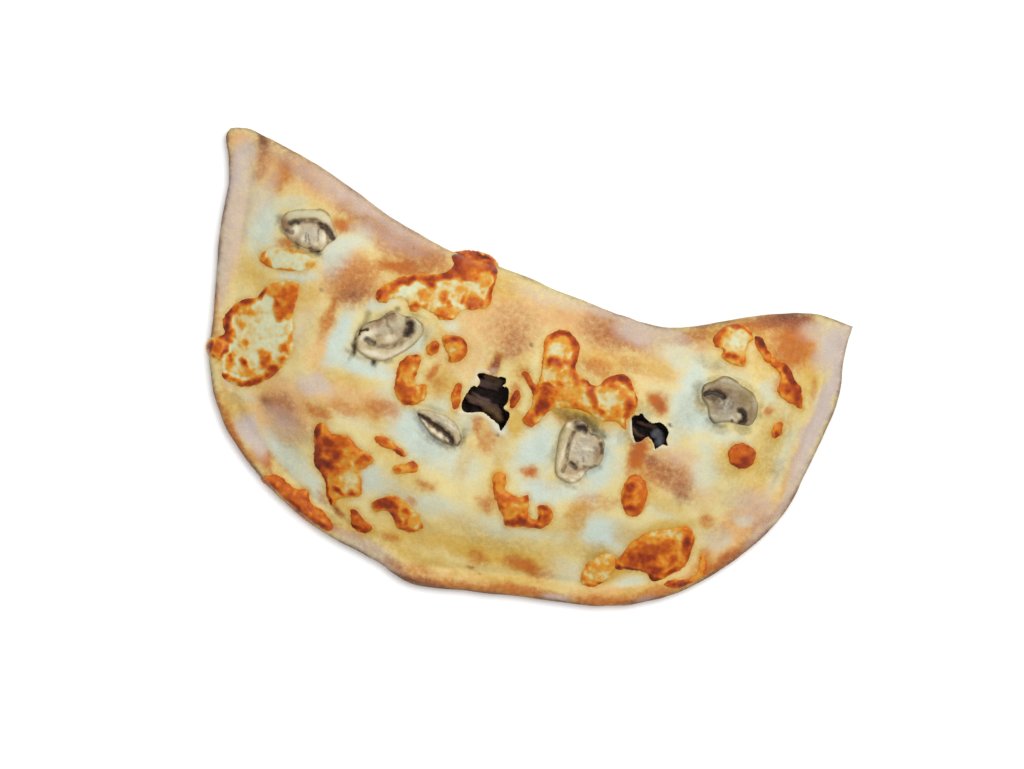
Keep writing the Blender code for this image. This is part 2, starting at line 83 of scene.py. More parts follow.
# Stains of the dough and painted shade, laid over each other in this order: x, y, half length, half width, turn in
# degrees, strength. Tan is lightly baked, milk is wet pale dough, gold is oiled and baked yellow, toast is orange
# brown, rose is dark and dull, flour is dusted grey, shade is painted shade beside a topping and also a dull olive
# darkening of the dough, and the last kind is scorched dough with some painted shade.
STAINS = {
    "tan": [
        (-105, 77, 34, 10, -16, .75), (-60, 62, 26, 11, -12, .85), (-10, 44, 26, 18, 0, .58),
        (35, 52, 34, 10, 0, .75),
        (-84, 40, 16, 15, 0, .85), (-86, 3, 7, 16, 0, .6), (-66, -17, 24, 9, 0, .65),
        (-48, -18, 14, 7, 0, .5),
        (-94, -30, 22, 14, -15, .8), (-104, -44, 18, 8, -35, .5), (-20, 20, 16, 14, 0, .45),
        (2, 33, 12, 12, 0, .28),
        (72, 43, 14, 9, -20, .5), (56, -36, 14, 5, 80, .4), (96, -3, 16, 12, -25, .65),
        (134, -20, 20, 10, 50, .7),
        (138, -4, 12, 10, 0, .45), (113, -12, 8, 8, 0, .3), (130, 76, 20, 12, -30, .8),
        (88, 60, 14, 7, 35, .5),
        (-135, 78, 16, 10, -30, .75), (-155, 87, 8, 6, 0, .75), (-144, 40, 34, 6, -80, .45),
        (-141, 2, 22, 4, -78, .65),
        (151, 18, 30, 4, 86, .4), (4, -15, 7, 10, 0, .35), (15, -44, 8, 8, 0, .3), (84, -70, 30, 5, 22, .7),
        (12, -85, 40, 4, 9, .5), (-100, 22, 8, 10, 0, .35), (45, 38, 14, 7, 0, .6), (122, 66, 12, 8, -40, .5),
        (126, -38, 20, 6, 52, .7), (-118, -46, 20, 4, -48, .5), (60, 28, 12, 8, 0, .3),
        (-122, -34, 8, 5, -50, .4),
    ],
    "milk": [
        (-131, 51, 15, 7, 82, .85), (-92, 50, 13, 7, 75, .75), (-79, 10, 17, 6.5, 88, 1.0),
        (-68, -1, 13, 5, 0, .95),
        (-57, 0, 15, 4.5, 0, .7), (-42, 18, 12, 5, 65, .7), (-66, 32, 9, 4, 30, .85),
        (-30, 32, 9, 4, -30, .55),
        (-26, -25, 24, 11, -18, 1.0), (-8, -12, 7, 7, 0, .55), (8, -8, 5, 4, -30, .9), (-47, -8, 8, 7, 0, .4),
        (-46, -50, 9, 8, 0, .8), (-35, -52, 7, 5, 0, .4), (-12, -54, 18, 6, 0, .6),
        (-88, -53, 18, 7, -25, .8),
        (-68, -64, 10, 6, -40, .75), (28, -14, 18, 10, 80, 1.0), (36, -33, 11, 7, 0, .95),
        (60, -12, 16, 8, 85, .95),
        (59, 4, 9, 5, 0, .85), (48, -29, 13, 6, 0, .75), (42, -53, 18, 4, 8, .4), (91, 37, 16, 6.5, 78, .95),
        (97, 24, 13, 8, 0, 1.0), (130, 42, 10, 5, -70, .45), (116, 20, 12, 5, 0, .6),
        (108, 51, 12, 4, 0, .45),
        (137, -16, 7, 4, 0, .6), (71, -42, 15, 9, 0, 1.0), (60, -66, 18, 6, 6, .55), (125, -29, 9, 8, 0, .5),
        (-97, 8, 4, 14, 0, .3), (82, 51, 14, 9, 0, .5), (84, 29, 11, 6, 0, .5), (-36, -83, 16, 4, -8, .45),
        (-116, -32, 8, 4, 0, .3), (20, -3, 4, 4, 0, .6), (-106, 32.6, 10, 4, 10, .75),
        (106, 12, 8, 5, 0, .45),
        (110, 1, 8, 11, 0, .55), (90, 14, 5, 7, 0, .5), (-2, -32, 10, 9, 0, .45), (-30, -20, 14, 5, -20, .4),
        (18, -56, 14, 4, 0, .45), (-117, 61, 5, 4, 0, .3), (94, -24, 8, 4, 0, .3), (-146, 24, 9, 4, -85, .4),
        (144, 16, 22, 3, 86, .45), (90, -61, 10, 3, 12, .6), (-84, 62, 7, 8, 60, .45), (138, 36, 3, 8, 0, .3),
        (-60, -26, 12, 4, 0, .35), (78, 15, 14, 8, 0, .3), (70, -8, 4, 8, 0, .4),
        (12, -20, 5, 8, 0, .35), (-24, -6, 8, 6, 0, .5), (-36, -54, 8, 6, 0, .35),
        (-92, 42, 9, 5, -60, .5), (-120, 66, 8, 4, 20, .5), (-24, -55, 8, 4, 0, .4), (60, -28, 5, 6, 0, .35),
        (-12, -64, 8, 4, 0, .3), (112, -28, 8, 3, 20, .35), (128, 50, 5, 6, -40, .35),
        (-124, 44, 6, 5, 0, .4),
    ],
    "gold": [
        (-111, 70, 18, 4, 4, .2), (-122, 65, 6, 4, 40, .1), (-134, 27, 10, 9, 0, .55),
        (-124, 24, 7, 8, 0, .5),
        (-100, 24, 7, 9, 0, .5), (-95, 5, 4, 16, 0, .45), (-72, -8, 18, 4, 0, .45),
        (-118, -37, 14, 7, -42, .6),
        (-106, -27, 6, 5, 0, .3), (-28, -48, 13, 8, 0, .3), (-42, -37, 12, 5, -16, .45),
        (-56, -66, 12, 4, -30, .6),
        (-8, -69, 34, 8, 0, .62), (28, -68, 36, 8, 6, .75), (-30, -76, 24, 5, 0, .5),
        (-11, 57, 12, 7, 0, .55),
        (45, 37, 12, 6, 0, .45), (72, 42, 10, 6, 0, .45), (135, 26, 18, 8, 85, .5), (132, 8, 12, 9, 0, .5),
        (120, 10, 11, 9, 0, .5), (98, -20, 10, 5, 0, .45), (99, -31.6, 17, 3.4, 27, .7),
        (84, -42, 6, 11, 70, .5),
        (89, -17, 7, 4, 80, .4), (113, -25, 9, 5, 0, .4), (13, -20, 4, 10, 0, .5), (15, -5, 5, 7, 0, .8),
        (-3, -30, 5, 12, 0, .4), (4, -58, 17, 6, 0, .35), (42, -60, 15, 7, 0, .4), (144, 62, 8, 12, 20, .65),
        # The gold at (42, 8) also paints the shade above the middle mushroom
        (-26, 3, 8, 9, 0, .65), (42, 8, 22, 5, -5, .95), (80, -60, 14, 5, 20, .85), (97, -64, 14, 3, 26, .5),
        (120, 58, 10, 5, -20, .4), (-14, -18, 5, 10, 0, .3), (-52, -24, 10, 5, 0, .4),
        (-38, 27, 8, 5, 0, .35),
        (9, 22, 5, 10, 0, .35), (102, 71, 16, 6, 24, .6), (-128, -20, 8, 5, -50, .5), (57, -40, 6, 10, 0, .6),
        (112, 52, 14, 3, 0, .3), (33, 20, 12, 9, 0, .55), (40, -27, 5, 5, 0, .2), (-9, -81, 22, 4, 0, .65),
        (47, -47, 6, 7, 0, .4), (66, -72, 16, 4, 12, .3), (35, -78, 24, 3.5, 8, .55), (14, -32, 4, 8, 0, .5),
        (-90, -58, 8, 3, -30, .5), (88, 66, 8, 4, 35, .35), (-145, 4, 12, 3, -78, .3), (60, 40, 8, 5, 0, .3),
        (72, -54, 8, 6, 40, .55), (60, -54, 8, 6, 0, .4), (-46, -80, 24, 4, -12, .3), (144, 42, 4, 10, 0, .3),
    ],
    "toast": [
        (-130, 76, 9, 5, 78, .6), (-120, 81, 10, 5, -10, .35), (-156, 77, 9, 2.6, 70, .5),
        (-94, 62, 7, 3.6, 8, .9),
        (-144, 8, 14, 2.6, -76, .55), (-87, 18, 11, 3.2, 84, .75), (-62, 51, 14, 4, 13, .95),
        (-50, 60, 14, 5, -20, .5),
        (-66, 62, 16, 5, -14, .25), (-87, 67, 6, 3, 0, .45), (-50, -17, 10, 5.5, 0, .6),
        (-67, -22, 9, 4, 0, .45),
        (-79, -28, 7, 4, 0, .7), (-118, -47, 18, 2.6, -50, .6), (-97, -58, 8, 4, -30, .8),
        (-110, -54, 17, 2.4, -42, .6),
        (-26, 3, 5, 6, 0, .4), (-18, -46, 5.5, 3, 0, .6), (-22, -56, 3, 2, 0, .6), (-54, -71, 4, 2, -20, .8),
        (-26, -76, 6, 2.6, 0, .55), (-10, -87, 10, 3, 0, .5), (44, 33, 9, 5, 0, .65),
        (133, 72, 13, 12, -30, .85),
        (148, 55, 10, 2, -75, .35), (87, -7, 9, 5.5, -10, .5), (118, -22, 4, 3.6, 0, .65),
        (28.5, -25, 4, 3.6, 0, .95),
        (4, -17, 5, 6, 0, .45), (-2.5, -10, 3, 5, 20, .7), (13, -46, 5, 5, 0, .6), (15, -35, 4, 6, 0, .35),
        (57, -38, 6, 11, 0, .2), (66, -29, 12, 4, 20, .3), (18, -72, 6, 4.5, 0, .6),
        (38, -69.5, 11, 4, 0, .9),
        (15, -78, 2.4, 1, 0, .5), (20, -87.5, 42, 3, 9.5, .75), (42, -81, 20, 3, 8, .75),
        (82, -74, 24, 3.4, 18, .8),
        (106, -62, 12, 4, 32, .75), (130, -40, 18, 4, 52, .85), (123, -41, 8, 3, -75, .6),
        (76.5, 0, 11, 5, 86, 1.0),
        (78.6, 25, 6.4, 4.8, -50, 1.0), (130, 38.5, 2.6, 2.2, 0, .7), (-4, 42, 18, 14, 0, .1),
        (3, 32, 8, 10, 0, .2),
        (86, 63, 12, 4, 32, .4), (151, 22, 26, 2, 86, .3), (-118, 46.5, 6, 3, 0, .75),
        (-110, 44.5, 6, 1.4, 10, .3),
        (112, 76, 16, 5, 24, .75), (60, 39, 9, 4, 0, .4), (-80, 38, 15, 12, 30, .5),
        (-64, -67, 5, 2, -45, .4),
        (-30.6, 7.6, 6.4, 2, 72, .85), (12, 20, 4, 4, -45, .4), (-2.8, 19.5, 7, 3.4, 86, 1.0),
        (9, 12, 3, 4, 0, .5),
        (47, -70, 9, 5, 0, .4), (40, 5, 12, 3, 0, .3), (47, 48, 14, 7, 0, .35), (-19, 48, 5, 4, 0, .3),
        (126, -24, 10, 4, 50, .2), (88, 60, 6, 6, 0, .2),
        (12, 6, 3, 5, 0, .5), (66, 16, 5, 6, 0, .3), (84, -10, 4, 10, 0, .3), (-46, -81, 24, 2.4, -12, .4),
        (108, 56, 5, 3, 0, .25), (134, 52, 5, 6, -40, .3), (-134, -12, 5, 8, 20, .3),
    ],
    "rose": [
        (-126, 83, 12, 6, -10, .35), (-141, 79, 11, 4, 82, .5), (-144, 90, 5, 2.6, -50, .85),
        (-84, 40, 12, 11, 0, .25),
        (-79, 32, 9, 4, 25, .6), (-66, 62, 26, 7, -14, .35), (-96, -32, 12, 8, -20, .65),
        (-103, -30, 5, 4, 0, .45),
        (-88, -41, 12, 7, 0, .35), (0, 38, 13, 15, 0, .25), (3, 31, 6, 8, 0, .35), (42, 52, 12, 9, 0, .5),
        (128, 83, 14, 5, 20, 1.0), (115, 79, 10, 3, 25, .5), (96, -7, 16, 8, -32, .6),
        (102, -12, 6, 6, 0, .4),
        (134, -10, 14, 9, 0, .2), (138, -32, 20, 2.6, 53, .7), (83, -1, 4, 3.6, 0, .8),
        (88, 63, 12, 4, 35, .3),
        (-151, 70, 16, 4, 72, .25), (-86, 71, 30, 6, -16, .5), (-130, -36, 18, 2.4, -55, .55),
        (58, 53, 16, 7, 0, .5), (58, -79, 12, 2, 8, .35), (-47, 62, 8, 4, 0, .4),
        (30, -90, 40, 1.6, 9.5, .6), (-8, -91.5, 18, 2.4, 0, .85), (-22, -88, 8, 3, -15, .7),
        (150, -6, 16, 2, 66, .6),
        (104, -66, 22, 1.6, 28, .6), (76, 59, 10, 5, 0, .35), (-2.8, 19, 5.5, 2.2, 86, .8),
        (79, 24, 4, 3, -50, .45),
        (-105, -60, 14, 1.6, -36, .6), (144, 10, 5, 8, 0, .12), (76, 2, 6, 3, 86, .3),
        (-56, 64, 10, 5, 0, .2),
        (144, -18, 6, 9, -30, .4), (-144, 88, 8, 5, 70, .35), (-60, -78, 14, 2, -14, .3),
        (-80, 30, 10, 8, 30, .25), (-60, 55, 20, 5, -14, .2),
    ],
    "flour": [
        (-147, 50, 40, 9, -82, .72), (-150, 82, 8, 6, 75, .75), (-136, 64, 14, 6, 75, .45),
        (-108, 79, 30, 6, -16, .45),
        (-80, 74, 38, 4, -16, .55), (-65, 64, 16, 6, -10, .35), (-84, 63, 8, 5, 0, .35),
        (-84, -16, 10, 6.5, 0, .75),
        (-109, -46, 9, 6, -50, 1.0), (-102, -53, 8, 5, -30, .7), (-96, -35, 10, 6, 0, .25),
        (58, 55, 12, 7, 0, .7),
        (52, 60.5, 30, 2.6, 0, .6), (152, 78, 15, 9, 80, 1.0), (155, 46, 42, 5, 85, 1.0),
        (153, 5, 22, 4, 80, .6),
        (97, 3, 9, 5, 0, .3), (59, -79.6, 7, 2.4, 8, .8), (101, -68, 6, 3, 25, .4), (-40, -83, 16, 4, -8, .5),
        (138, -8, 14, 8, 0, .4), (146, -20, 12, 4, 58, .5), (15, 59, 24, 4, 0, .35),
        (-30, -89, 14, 2.4, -8, .5),
        (-126, -25, 7, 2.4, -55, .5), (-141, 18, 12, 3, -80, .4), (-155, 60, 10, 3, 75, .4),
        (-92, -40, 8, 6, 0, .3),
        (140, 82, 8, 6, 20, .5), (75, 58, 10, 5, 0, .3),
        (-153, 60, 4, 22, -4, .9), (-98, 8, 5, 12, 0, .2), (-108, -50, 10, 3, -35, .5),
    ],
    # Painted shade: dark olive rings beside the mushrooms and cheese, and a few spots that darken pale dough to a dull
    # olive
    "shade": [
        (95, 37, 3.4, 6, 0, .5), (98.5, 30.5, 5, 3.4, -45, .5), (108, 23, 8, 2.6, 0, .4),
        (121, 25.6, 5, 2, 10, .3),
        (116, 46.6, 9, 1.6, -20, .35), (100, 45.4, 5, 1.6, 40, .4), (126.6, 36, 1.6, 7, 0, .4),
        (50, 6, 6, 3.4, -25, .8),
        (57, 3.4, 4, 2, -20, .6), (43, 8.6, 5, 2, 0, .5), (36, -8, 2, 14, 0, .35), (61.4, -8, 1.6, 7, 0, .3),
        (48, -25.4, 6, 1.6, 0, .4), (-21, -24.6, 10, 1.8, -14, .35), (-33, -13, 3, 2.4, 0, .4),
        (-26, -9.6, 8, 1.4, 0, .3),
        (-6.6, -18, 2, 6, 10, .45), (-66, 3.4, 7, 1.4, 0, .3), (-40.5, 21, 1.6, 7, 0, .25),
        (-47, 31, 5, 1.4, 0, .4),
        (-56.6, 31.6, 2, 1.6, 0, .8), (-107, 45, 10, 1.6, 0, .35), (-124.6, 56, 1.6, 5, 0, .35),
        (-63, 26.4, 5, 1.6, 35, .35),
        (30, 8, 8, 3, -10, .35), (66, 5, 2, 5, 0, .3), (140, 22, 8, 20, 0, .2), (120, 2, 10, 8, 0, .14),
        (92, 24, 6, 12, 0, .2), (-118, -38, 12, 5, -45, .25), (84, -54, 8, 6, 30, .2),
        (20, -62, 20, 6, 0, .14),
        (72, -54, 9, 7, 40, .25), (38, 7, 8, 4, 0, .4), (120, 30, 5, 8, 0, .35), (97, 52, 8, 4, 0, .4),
        (-24, -30, 9, 6, 0, .12), (70, 8, 4, 7, 0, .4),
        (-46, -78, 26, 5, -12, .25), (-84, -54, 10, 6, -25, .16), (-146, 88, 8, 6, 60, .16),
        (72, 20, 6, 5, 0, .3),
    ],
    # Scorched dough, and painted shade such as the dark strip above the middle mushroom at (44, 6)
    "char": [
        (-3, 19.5, 4, 2, 85, .35), (16, -90.5, 34, 1.2, 9.5, .5), (-104, -31, 3, 2, 0, .2),
        (127, 85, 12, 2, 22, .35),
        (-144, 91, 3, 1.5, -50, .45), (11, 34, 1.2, 1.0, 0, .6), (8, -12, 1.0, 1.0, 0, .8),
        (44, 6, 12, 3, -12, .35),
        (86.5, 17.5, 1.2, 1.0, 0, .8), (-94.5, 29, 1.6, 1.0, 0, .5), (-122.5, 54, 3.4, 2, -60, .4),
        (-12, -92.5, 12, 1.4, 0, .6), (-78, 31, 4, 2, 0, .2), (15, -78, 1.6, .7, 0, .4),
        (20, -79.5, 1.8, .7, 0, .3),
        (-66, 56, 1, .7, 0, .3), (-58, 62, .8, .6, 0, .3), (88, 17, .8, .6, 0, .5), (-27, -12, 3, 1, 0, .1),
    ],
}

# Cracks and crevices of the roof: points, half width, depth, and darkness of the shade painted into each crevice
CREVICES = [
    ([(-69.6, 25), (-69.4, 20), (-70.6, 16)], 1.3, 1.0, 0.5), ([(-70.4, 16.4), (-71.8, 13.6),
    (-71.4, 9)], 0.7, 1.4, 1.0),
    ([(-71, 8), (-70.4, 5.6), (-70.4, 4.4)], 1.3, 1.4, 1.0), ([(-70.6, 4.4), (-71.2, 2.6),
    (-71.6, 1)], 0.9, 0.7, 0.4),
    ([(-70, 16), (-67.6, 17.6)], 0.7, 0.8, 0.9), ([(-74.5, 4.6), (-72.5, 5)], 0.9, 0.6, 0.5),
    ([(-60, 4.2), (-59.4, 2.4)], 1.3, 1.6, 1.0), ([(-54.6, 5.4), (-52.2, 6.8)], 1.0, 0.6, 0.5),
    ([(-31.5, -16.5), (-26, -21.8), (-18, -24.6), (-10.5, -24.6)], 1.2, 0.5, 0.35),
    ([(-8.4, -15.5), (-7, -19.5), (-8, -23.5)], 0.9, 0.4, 0.35),
    ([(-63.5, -58), (-60, -67), (-55, -72)], 1.5, 0.6, 0.3),
    ([(40, 5.6), (44.5, 7.8), (49.5, 6.4), (52, 3.4), (57, 2)], 1.6, 0.7, 0.45),
    ([(60, -12.6), (55.6, -17), (53.6, -22)], 1.2, 0.4, 0.2), ([(95.4, 40), (95.6, 35.5),
    (100, 31.5)], 1.4, 0.3, 0.25),
    ([(103, 25), (108, 23.6), (113, 25)], 1.2, 0.5, 0.3), ([(-113.6, 46), (-111.6, 45.8)], 1.2, 0.5, 0.55),
    ([(-105.5, 45.4), (-101.5, 46)], 1.2, 0.6, 0.7), ([(-124, 57), (-121.6, 51.4),
    (-118, 49.4)], 1.0, 0.5, 0.45),
    ([(-4, 24), (-2.7, 20), (-3.2, 16)], 1.8, 0.5, 0.0),
]


# ---------------------------------------------------------------- lines, distances and noise

def span_points(four, steps):
    """Points of a Catmull-Rom span between the second and the third of four points."""
    before, start, end, after = four
    t = np.linspace(0, 1, steps, endpoint=False)[:, None]
    slope_in = (end - before) / 2
    slope_out = (after - start) / 2
    bend = 3 * (end - start) - 2 * slope_in - slope_out
    turn = 2 * (start - end) + slope_in + slope_out
    return start + slope_in * t + bend * t ** 2 + turn * t ** 3


def open_curve(points, steps):
    """A smooth line through the points, read at the given number of steps a span."""
    p = np.array(points, float)
    p = np.vstack([2 * p[0] - p[1], p, 2 * p[-1] - p[-2]])
    return np.vstack([span_points(p[i - 1:i + 3], steps) for i in range(1, len(p) - 2)] + [p[-2:-1]])


def closed_curve(points, steps):
    """A smooth ring through the points."""
    p = np.array(points, float)
    n = len(p)
    return np.vstack([span_points(p[[(i - 1) % n, i, (i + 1) % n, (i + 2) % n]], steps) for i in range(n)])


def ellipse(x, y, half_length, half_width, turn, count=24):
    """Points of an ellipse whose long side is turned by an angle in degrees."""
    a = np.linspace(0, 2 * math.pi, count, endpoint=False)
    c, s = math.cos(math.radians(turn)), math.sin(math.radians(turn))
    u, v = half_length * np.cos(a), half_width * np.sin(a)
    return np.column_stack([x + u * c - v * s, y + u * s + v * c])


def distance(line, xy, block=20000):
    """Distance from each point to a line of short straight pieces."""
    start, step = line[:-1], np.diff(line, axis=0)
    square = (step ** 2).sum(1)
    result = np.empty(len(xy))
    for first in range(0, len(xy), block):
        part = xy[first:first + block]
        dx = part[:, 0:1] - start[:, 0]
        dy = part[:, 1:2] - start[:, 1]
        along = np.clip((dx * step[:, 0] + dy * step[:, 1]) / square, 0, 1)
        dx -= along * step[:, 0]
        dy -= along * step[:, 1]
        result[first:first + block] = np.sqrt((dx ** 2 + dy ** 2).min(1))
    return result


def inside(ring, xy, block=20000):
    """Whether each point lies inside a closed ring."""
    x0, y0 = ring[:, 0], ring[:, 1]
    x1, y1 = np.roll(x0, -1), np.roll(y0, -1)
    slope = (x1 - x0) / np.where(y1 == y0, 1, y1 - y0)
    result = np.empty(len(xy), bool)
    for first in range(0, len(xy), block):
        x, y = xy[first:first + block, 0:1], xy[first:first + block, 1:2]
        crossing = ((y0 > y) != (y1 > y)) & (x < slope * (y - y0) + x0)
        result[first:first + block] = crossing.sum(1) % 2 == 1
    return result


def depth_inside(ring, xy):
    """Distance to a ring's edge, above zero inside it."""
    gap = distance(np.vstack([ring, ring[:1]]), xy)
    return np.where(inside(ring, xy), gap, -gap)


def arc_lengths(line):
    return np.concatenate([[0], np.cumsum(np.linalg.norm(np.diff(line, axis=0), axis=1))])


def points_on(line, t):
    """Points at shares t of a line's length."""
    lengths = arc_lengths(line)
    return np.column_stack([np.interp(t * lengths[-1], lengths, line[:, k]) for k in (0, 1)])


def smoothstep(value, low, high):
    t = np.clip((value - low) / (high - low), 0, 1)
    return t * t * (3 - 2 * t)


def quarter_round(depth, radius):
    """Height, from 0 to 1, of a quarter circle at a depth inside its edge."""
    return np.sqrt(1 - (1 - np.clip(depth / radius, 0, 1)) ** 2)


def noise(xy, cell, seed, octaves=1):
    """Smooth noise between about -1 and 1, with features about one cell wide."""
    total, weight = 0, 0
    for octave in range(octaves):
        rng = np.random.default_rng(seed + 101 * octave)
        table = rng.uniform(-1, 1, (128, 128))
        turn = rng.uniform(0, math.pi)
        c, s = math.cos(turn) / cell, math.sin(turn) / cell
        gx, gy = xy[:, 0] * c - xy[:, 1] * s, xy[:, 0] * s + xy[:, 1] * c
        ix, iy = np.floor(gx).astype(int), np.floor(gy).astype(int)
        fx, fy = gx - ix, gy - iy
        fx, fy = fx * fx * (3 - 2 * fx), fy * fy * (3 - 2 * fy)
        ix, iy, jx, jy = ix % 128, iy % 128, (ix + 1) % 128, (iy + 1) % 128
        low = table[ix, iy] * (1 - fx) + table[jx, iy] * fx
        high = table[ix, jy] * (1 - fx) + table[jx, jy] * fx
        total = total + (low * (1 - fy) + high * fy) * 0.5 ** octave
        weight += 0.5 ** octave
        cell = cell / 2.1
    return total / weight * 1.4


def spot(xy, x, y, half_length, half_width, turn, soft=0.75):
    """A soft-edged oval, 1 in its middle and 0 outside."""
    c, s = math.cos(math.radians(turn)), math.sin(math.radians(turn))
    dx, dy = xy[:, 0] - x, xy[:, 1] - y
    radius = np.hypot((dx * c + dy * s) / half_length, (dy * c - dx * s) / half_width)
    return 1 - smoothstep(radius, 1 - soft, 1 + soft / 2)


def near_box(xy, points, margin):
    """Which points lie within a margin of a shape's box."""
    low, high = np.min(points, 0) - margin, np.max(points, 0) + margin
    return ((xy > low) & (xy < high)).all(1)


def groove(xy, points, half_width):
    """1 along a line and 0 beyond a few half widths of it."""
    result = np.zeros(len(xy))
    near = near_box(xy, points, 3 * half_width)
    gap = distance(open_curve(points, 5), xy[near])
    gap *= 1 + 0.3 * noise(xy[near], 2.5, 77)
    result[near] = np.exp(-(gap / half_width) ** 2)
    return result


FOLD_LINE = open_curve(FOLD_POINTS, 10)
LIP_LINE = open_curve(LIP_POINTS, 8)
OUTLINE = np.vstack([FOLD_LINE, LIP_LINE[-2:0:-1]])
TIPS = np.array([FOLD_LINE[0], FOLD_LINE[-1]])
PLAN_CENTRE = (OUTLINE.min(0) + OUTLINE.max(0)) / 2


# ---------------------------------------------------------------- settings

def length(name, description, millimetres):
    return bpy.props.FloatProperty(name=name, description=description, default=millimetres * MM,
                                   unit="LENGTH", precision=4)


def from_srgb(red, green, blue):
    """The base colour that a screen shows as these values, 0 to 255, under the stage's light."""
    shares = [value / 255 for value in (red, green, blue)]
    linear = (v / 12.92 if v <= 0.04045 else ((v + 0.055) / 1.055) ** 2.4 for v in shares)
    return tuple(v / STAGE_LIGHT for v in linear)


def colour(name, description, red, green, blue):
    return bpy.props.FloatVectorProperty(name=name, description=description, subtype="COLOR", size=3,
                                         min=0, max=1, default=from_srgb(red, green, blue))


class DoughSettings(bpy.types.PropertyGroup):
    """Sizes and colours of the crust."""
    lip_height: length("Lip height", "Height of the widest line of the sealed lip", 3.5)
    fold_height: length("Fold height", "Height of the widest line of the folded side", 9.0)
    rise: length("Rise", "How far the filling lifts the roof", 14.0)
    crease_depth: length("Crease depth", "Depth of the crease that was pressed along the lip", 1.5)
    roof: length("Roof", "Thickness of the dough over the filling", 3.5)
    floor: length("Floor", "Thickness of the dough under the filling", 3.5)
    relief: length("Relief", "Height of the waves and wrinkles of the crust", 0.5)
    cream: colour("Cream", "Pale dough", 230, 212, 150)
    tan: colour("Tan", "Lightly baked dough", 224, 165, 108)
    gold: colour("Gold", "Oiled dough, baked yellow", 212, 168, 62)
    toast: colour("Toast", "Orange brown dough", 190, 100, 32)
    rose: colour("Rose", "Dull brown dough under flour", 156, 84, 48)
    # Scorched dough; the same colour paints the shade in the crevices
    char: colour("Char", "Scorched dough", 62, 38, 26)
    milk: colour("Milk", "Pale wet dough round the toppings", 208, 219, 204)
    flour: colour("Flour", "Dusted flour", 205, 188, 177)
    dust: colour("Dust", "Grains of flour", 240, 226, 212)
    # Painted shade beside the toppings, also a dull olive darkening of the dough
    shade: colour("Shade", "Dark wet dough beside the toppings", 138, 122, 74)
    # Painted shade along the outer rim of the dough, where it turns away from the light
    edge: colour("Edge", "The dark outer line of the dough", 120, 82, 56)
    crumb: colour("Crumb", "Torn edge of the dough", 232, 220, 192)
    # Painted shade on the dough walls deep inside the tears, near black
    sauce: colour("Sauce", "Dough that the filling has stained", 30, 18, 12)


class CheeseSettings(bpy.types.PropertyGroup):
    """Sizes and colours of the browned cheese."""
    thickness: length("Thickness", "Thickness of a puddle of cheese", 2.0)
    pale: colour("Pale", "Melted cheese that has not browned", 220, 221, 180)
    yellow: colour("Yellow", "Cheese that begins to brown", 220, 170, 56)
    orange: colour("Orange", "Browned cheese", 216, 110, 12)
    red_brown: colour("Red brown", "Well browned cheese", 158, 54, 8)
    dark: colour("Dark", "Burnt cheese", 84, 32, 10)


class MushroomSettings(bpy.types.PropertyGroup):
    """Sizes and colours of the mushroom slices."""
    thickness: length("Thickness", "Thickness of a slice", 3.2)
    cap: colour("Cap", "Flesh of the cap", 200, 180, 138)
    stem: colour("Stem", "Fibres of the stem", 192, 180, 156)
    pale: colour("Pale", "Flesh under a film of wet dough", 208, 200, 160)
    brown: colour("Brown", "Browned flesh", 148, 112, 78)
    olive: colour("Olive", "Skin of the cap", 160, 136, 76)
    # Pale flesh, and painted highlights and glints on the wet slices
    cream: colour("Cream", "Pale wet flesh", 234, 222, 192)
    # Dark gills, and the painted shade in sunken slits and along the edges of the slices
    gills: colour("Gills", "The dark gills under the cap", 50, 30, 20)
    rim: colour("Rim", "The shaded edge of a slice", 120, 100, 62)


class StageSettings(bpy.types.PropertyGroup):
    """Floor, light and camera."""
    floor_colour: bpy.props.FloatVectorProperty(name="Floor", description="Colour of the floor", subtype="COLOR",
                                                size=3, min=0, max=1, default=(1.0, 1.0, 1.0))
    lens: bpy.props.FloatProperty(name="Lens", description="Focal length in millimetres", default=600.0)
    view_width: length("View width", "Width that the camera sees at the calzone", 498.6)
    turn: bpy.props.FloatProperty(name="Turn", description="Turn of the camera about the vertical",
                                  default=math.radians(17.4), subtype="ANGLE", unit="ROTATION")
    lamp_power: bpy.props.FloatProperty(name="Lamp power", description="Power of the large soft lamp",
                                        default=21.4, unit="POWER")
    sky: bpy.props.FloatProperty(name="Sky", description="Strength of the light from all round",
                                 default=0.773)


def millimetres(group, name):
    """A length setting in the plan's millimetres."""
    return getattr(group, name) / MM


# ---------------------------------------------------------------- the form of the crust

def section(xy):
    """Distances to fold and lip, height of the widest line, and share of the full thickness."""
    dough = bpy.context.scene.calzone_dough
    lip_height, fold_height = millimetres(dough, "lip_height"), millimetres(dough, "fold_height")
    within = inside(OUTLINE, xy)
    fold_gap, lip_gap = distance(FOLD_LINE, xy), distance(LIP_LINE, xy)
    to_fold, to_lip = np.where(within, fold_gap, 0), np.where(within, lip_gap, 0)
    to_tip = np.linalg.norm(xy[:, None, :] - TIPS[None], axis=2).min(1)
    fold_height = lip_height + (fold_height - lip_height) * smoothstep(to_tip, 8, 60)
    near_fold = lip_gap / (fold_gap + lip_gap + 1e-6)
    middle = lip_height + (fold_height - lip_height) * smoothstep(near_fold, 0, 1)
    share = quarter_round(to_fold, fold_height) * quarter_round(to_lip, lip_height)
    return to_fold, to_lip, middle, share


def smooth_roof(xy, parts=None):
    """Height of the crust's upper side without its small relief."""
    dough = bpy.context.scene.calzone_dough
    to_fold, to_lip, middle, share = section(xy) if parts is None else parts
    height = middle * (1 + share)
    height += millimetres(dough, "rise") * smoothstep(to_lip, 9, 48) * smoothstep(to_fold, 0, 40)
    crease = np.exp(-((to_lip - 10) / 2.6) ** 2) * smoothstep(to_fold, 10, 30)
    height -= millimetres(dough, "crease_depth") * crease * (0.75 + 0.35 * noise(xy, 22, 3))
    for x, y, long, wide, rise in LUMPS:
        height += rise * np.exp(-((xy[:, 0] - x) / long) ** 2 - ((xy[:, 1] - y) / wide) ** 2)
    return height


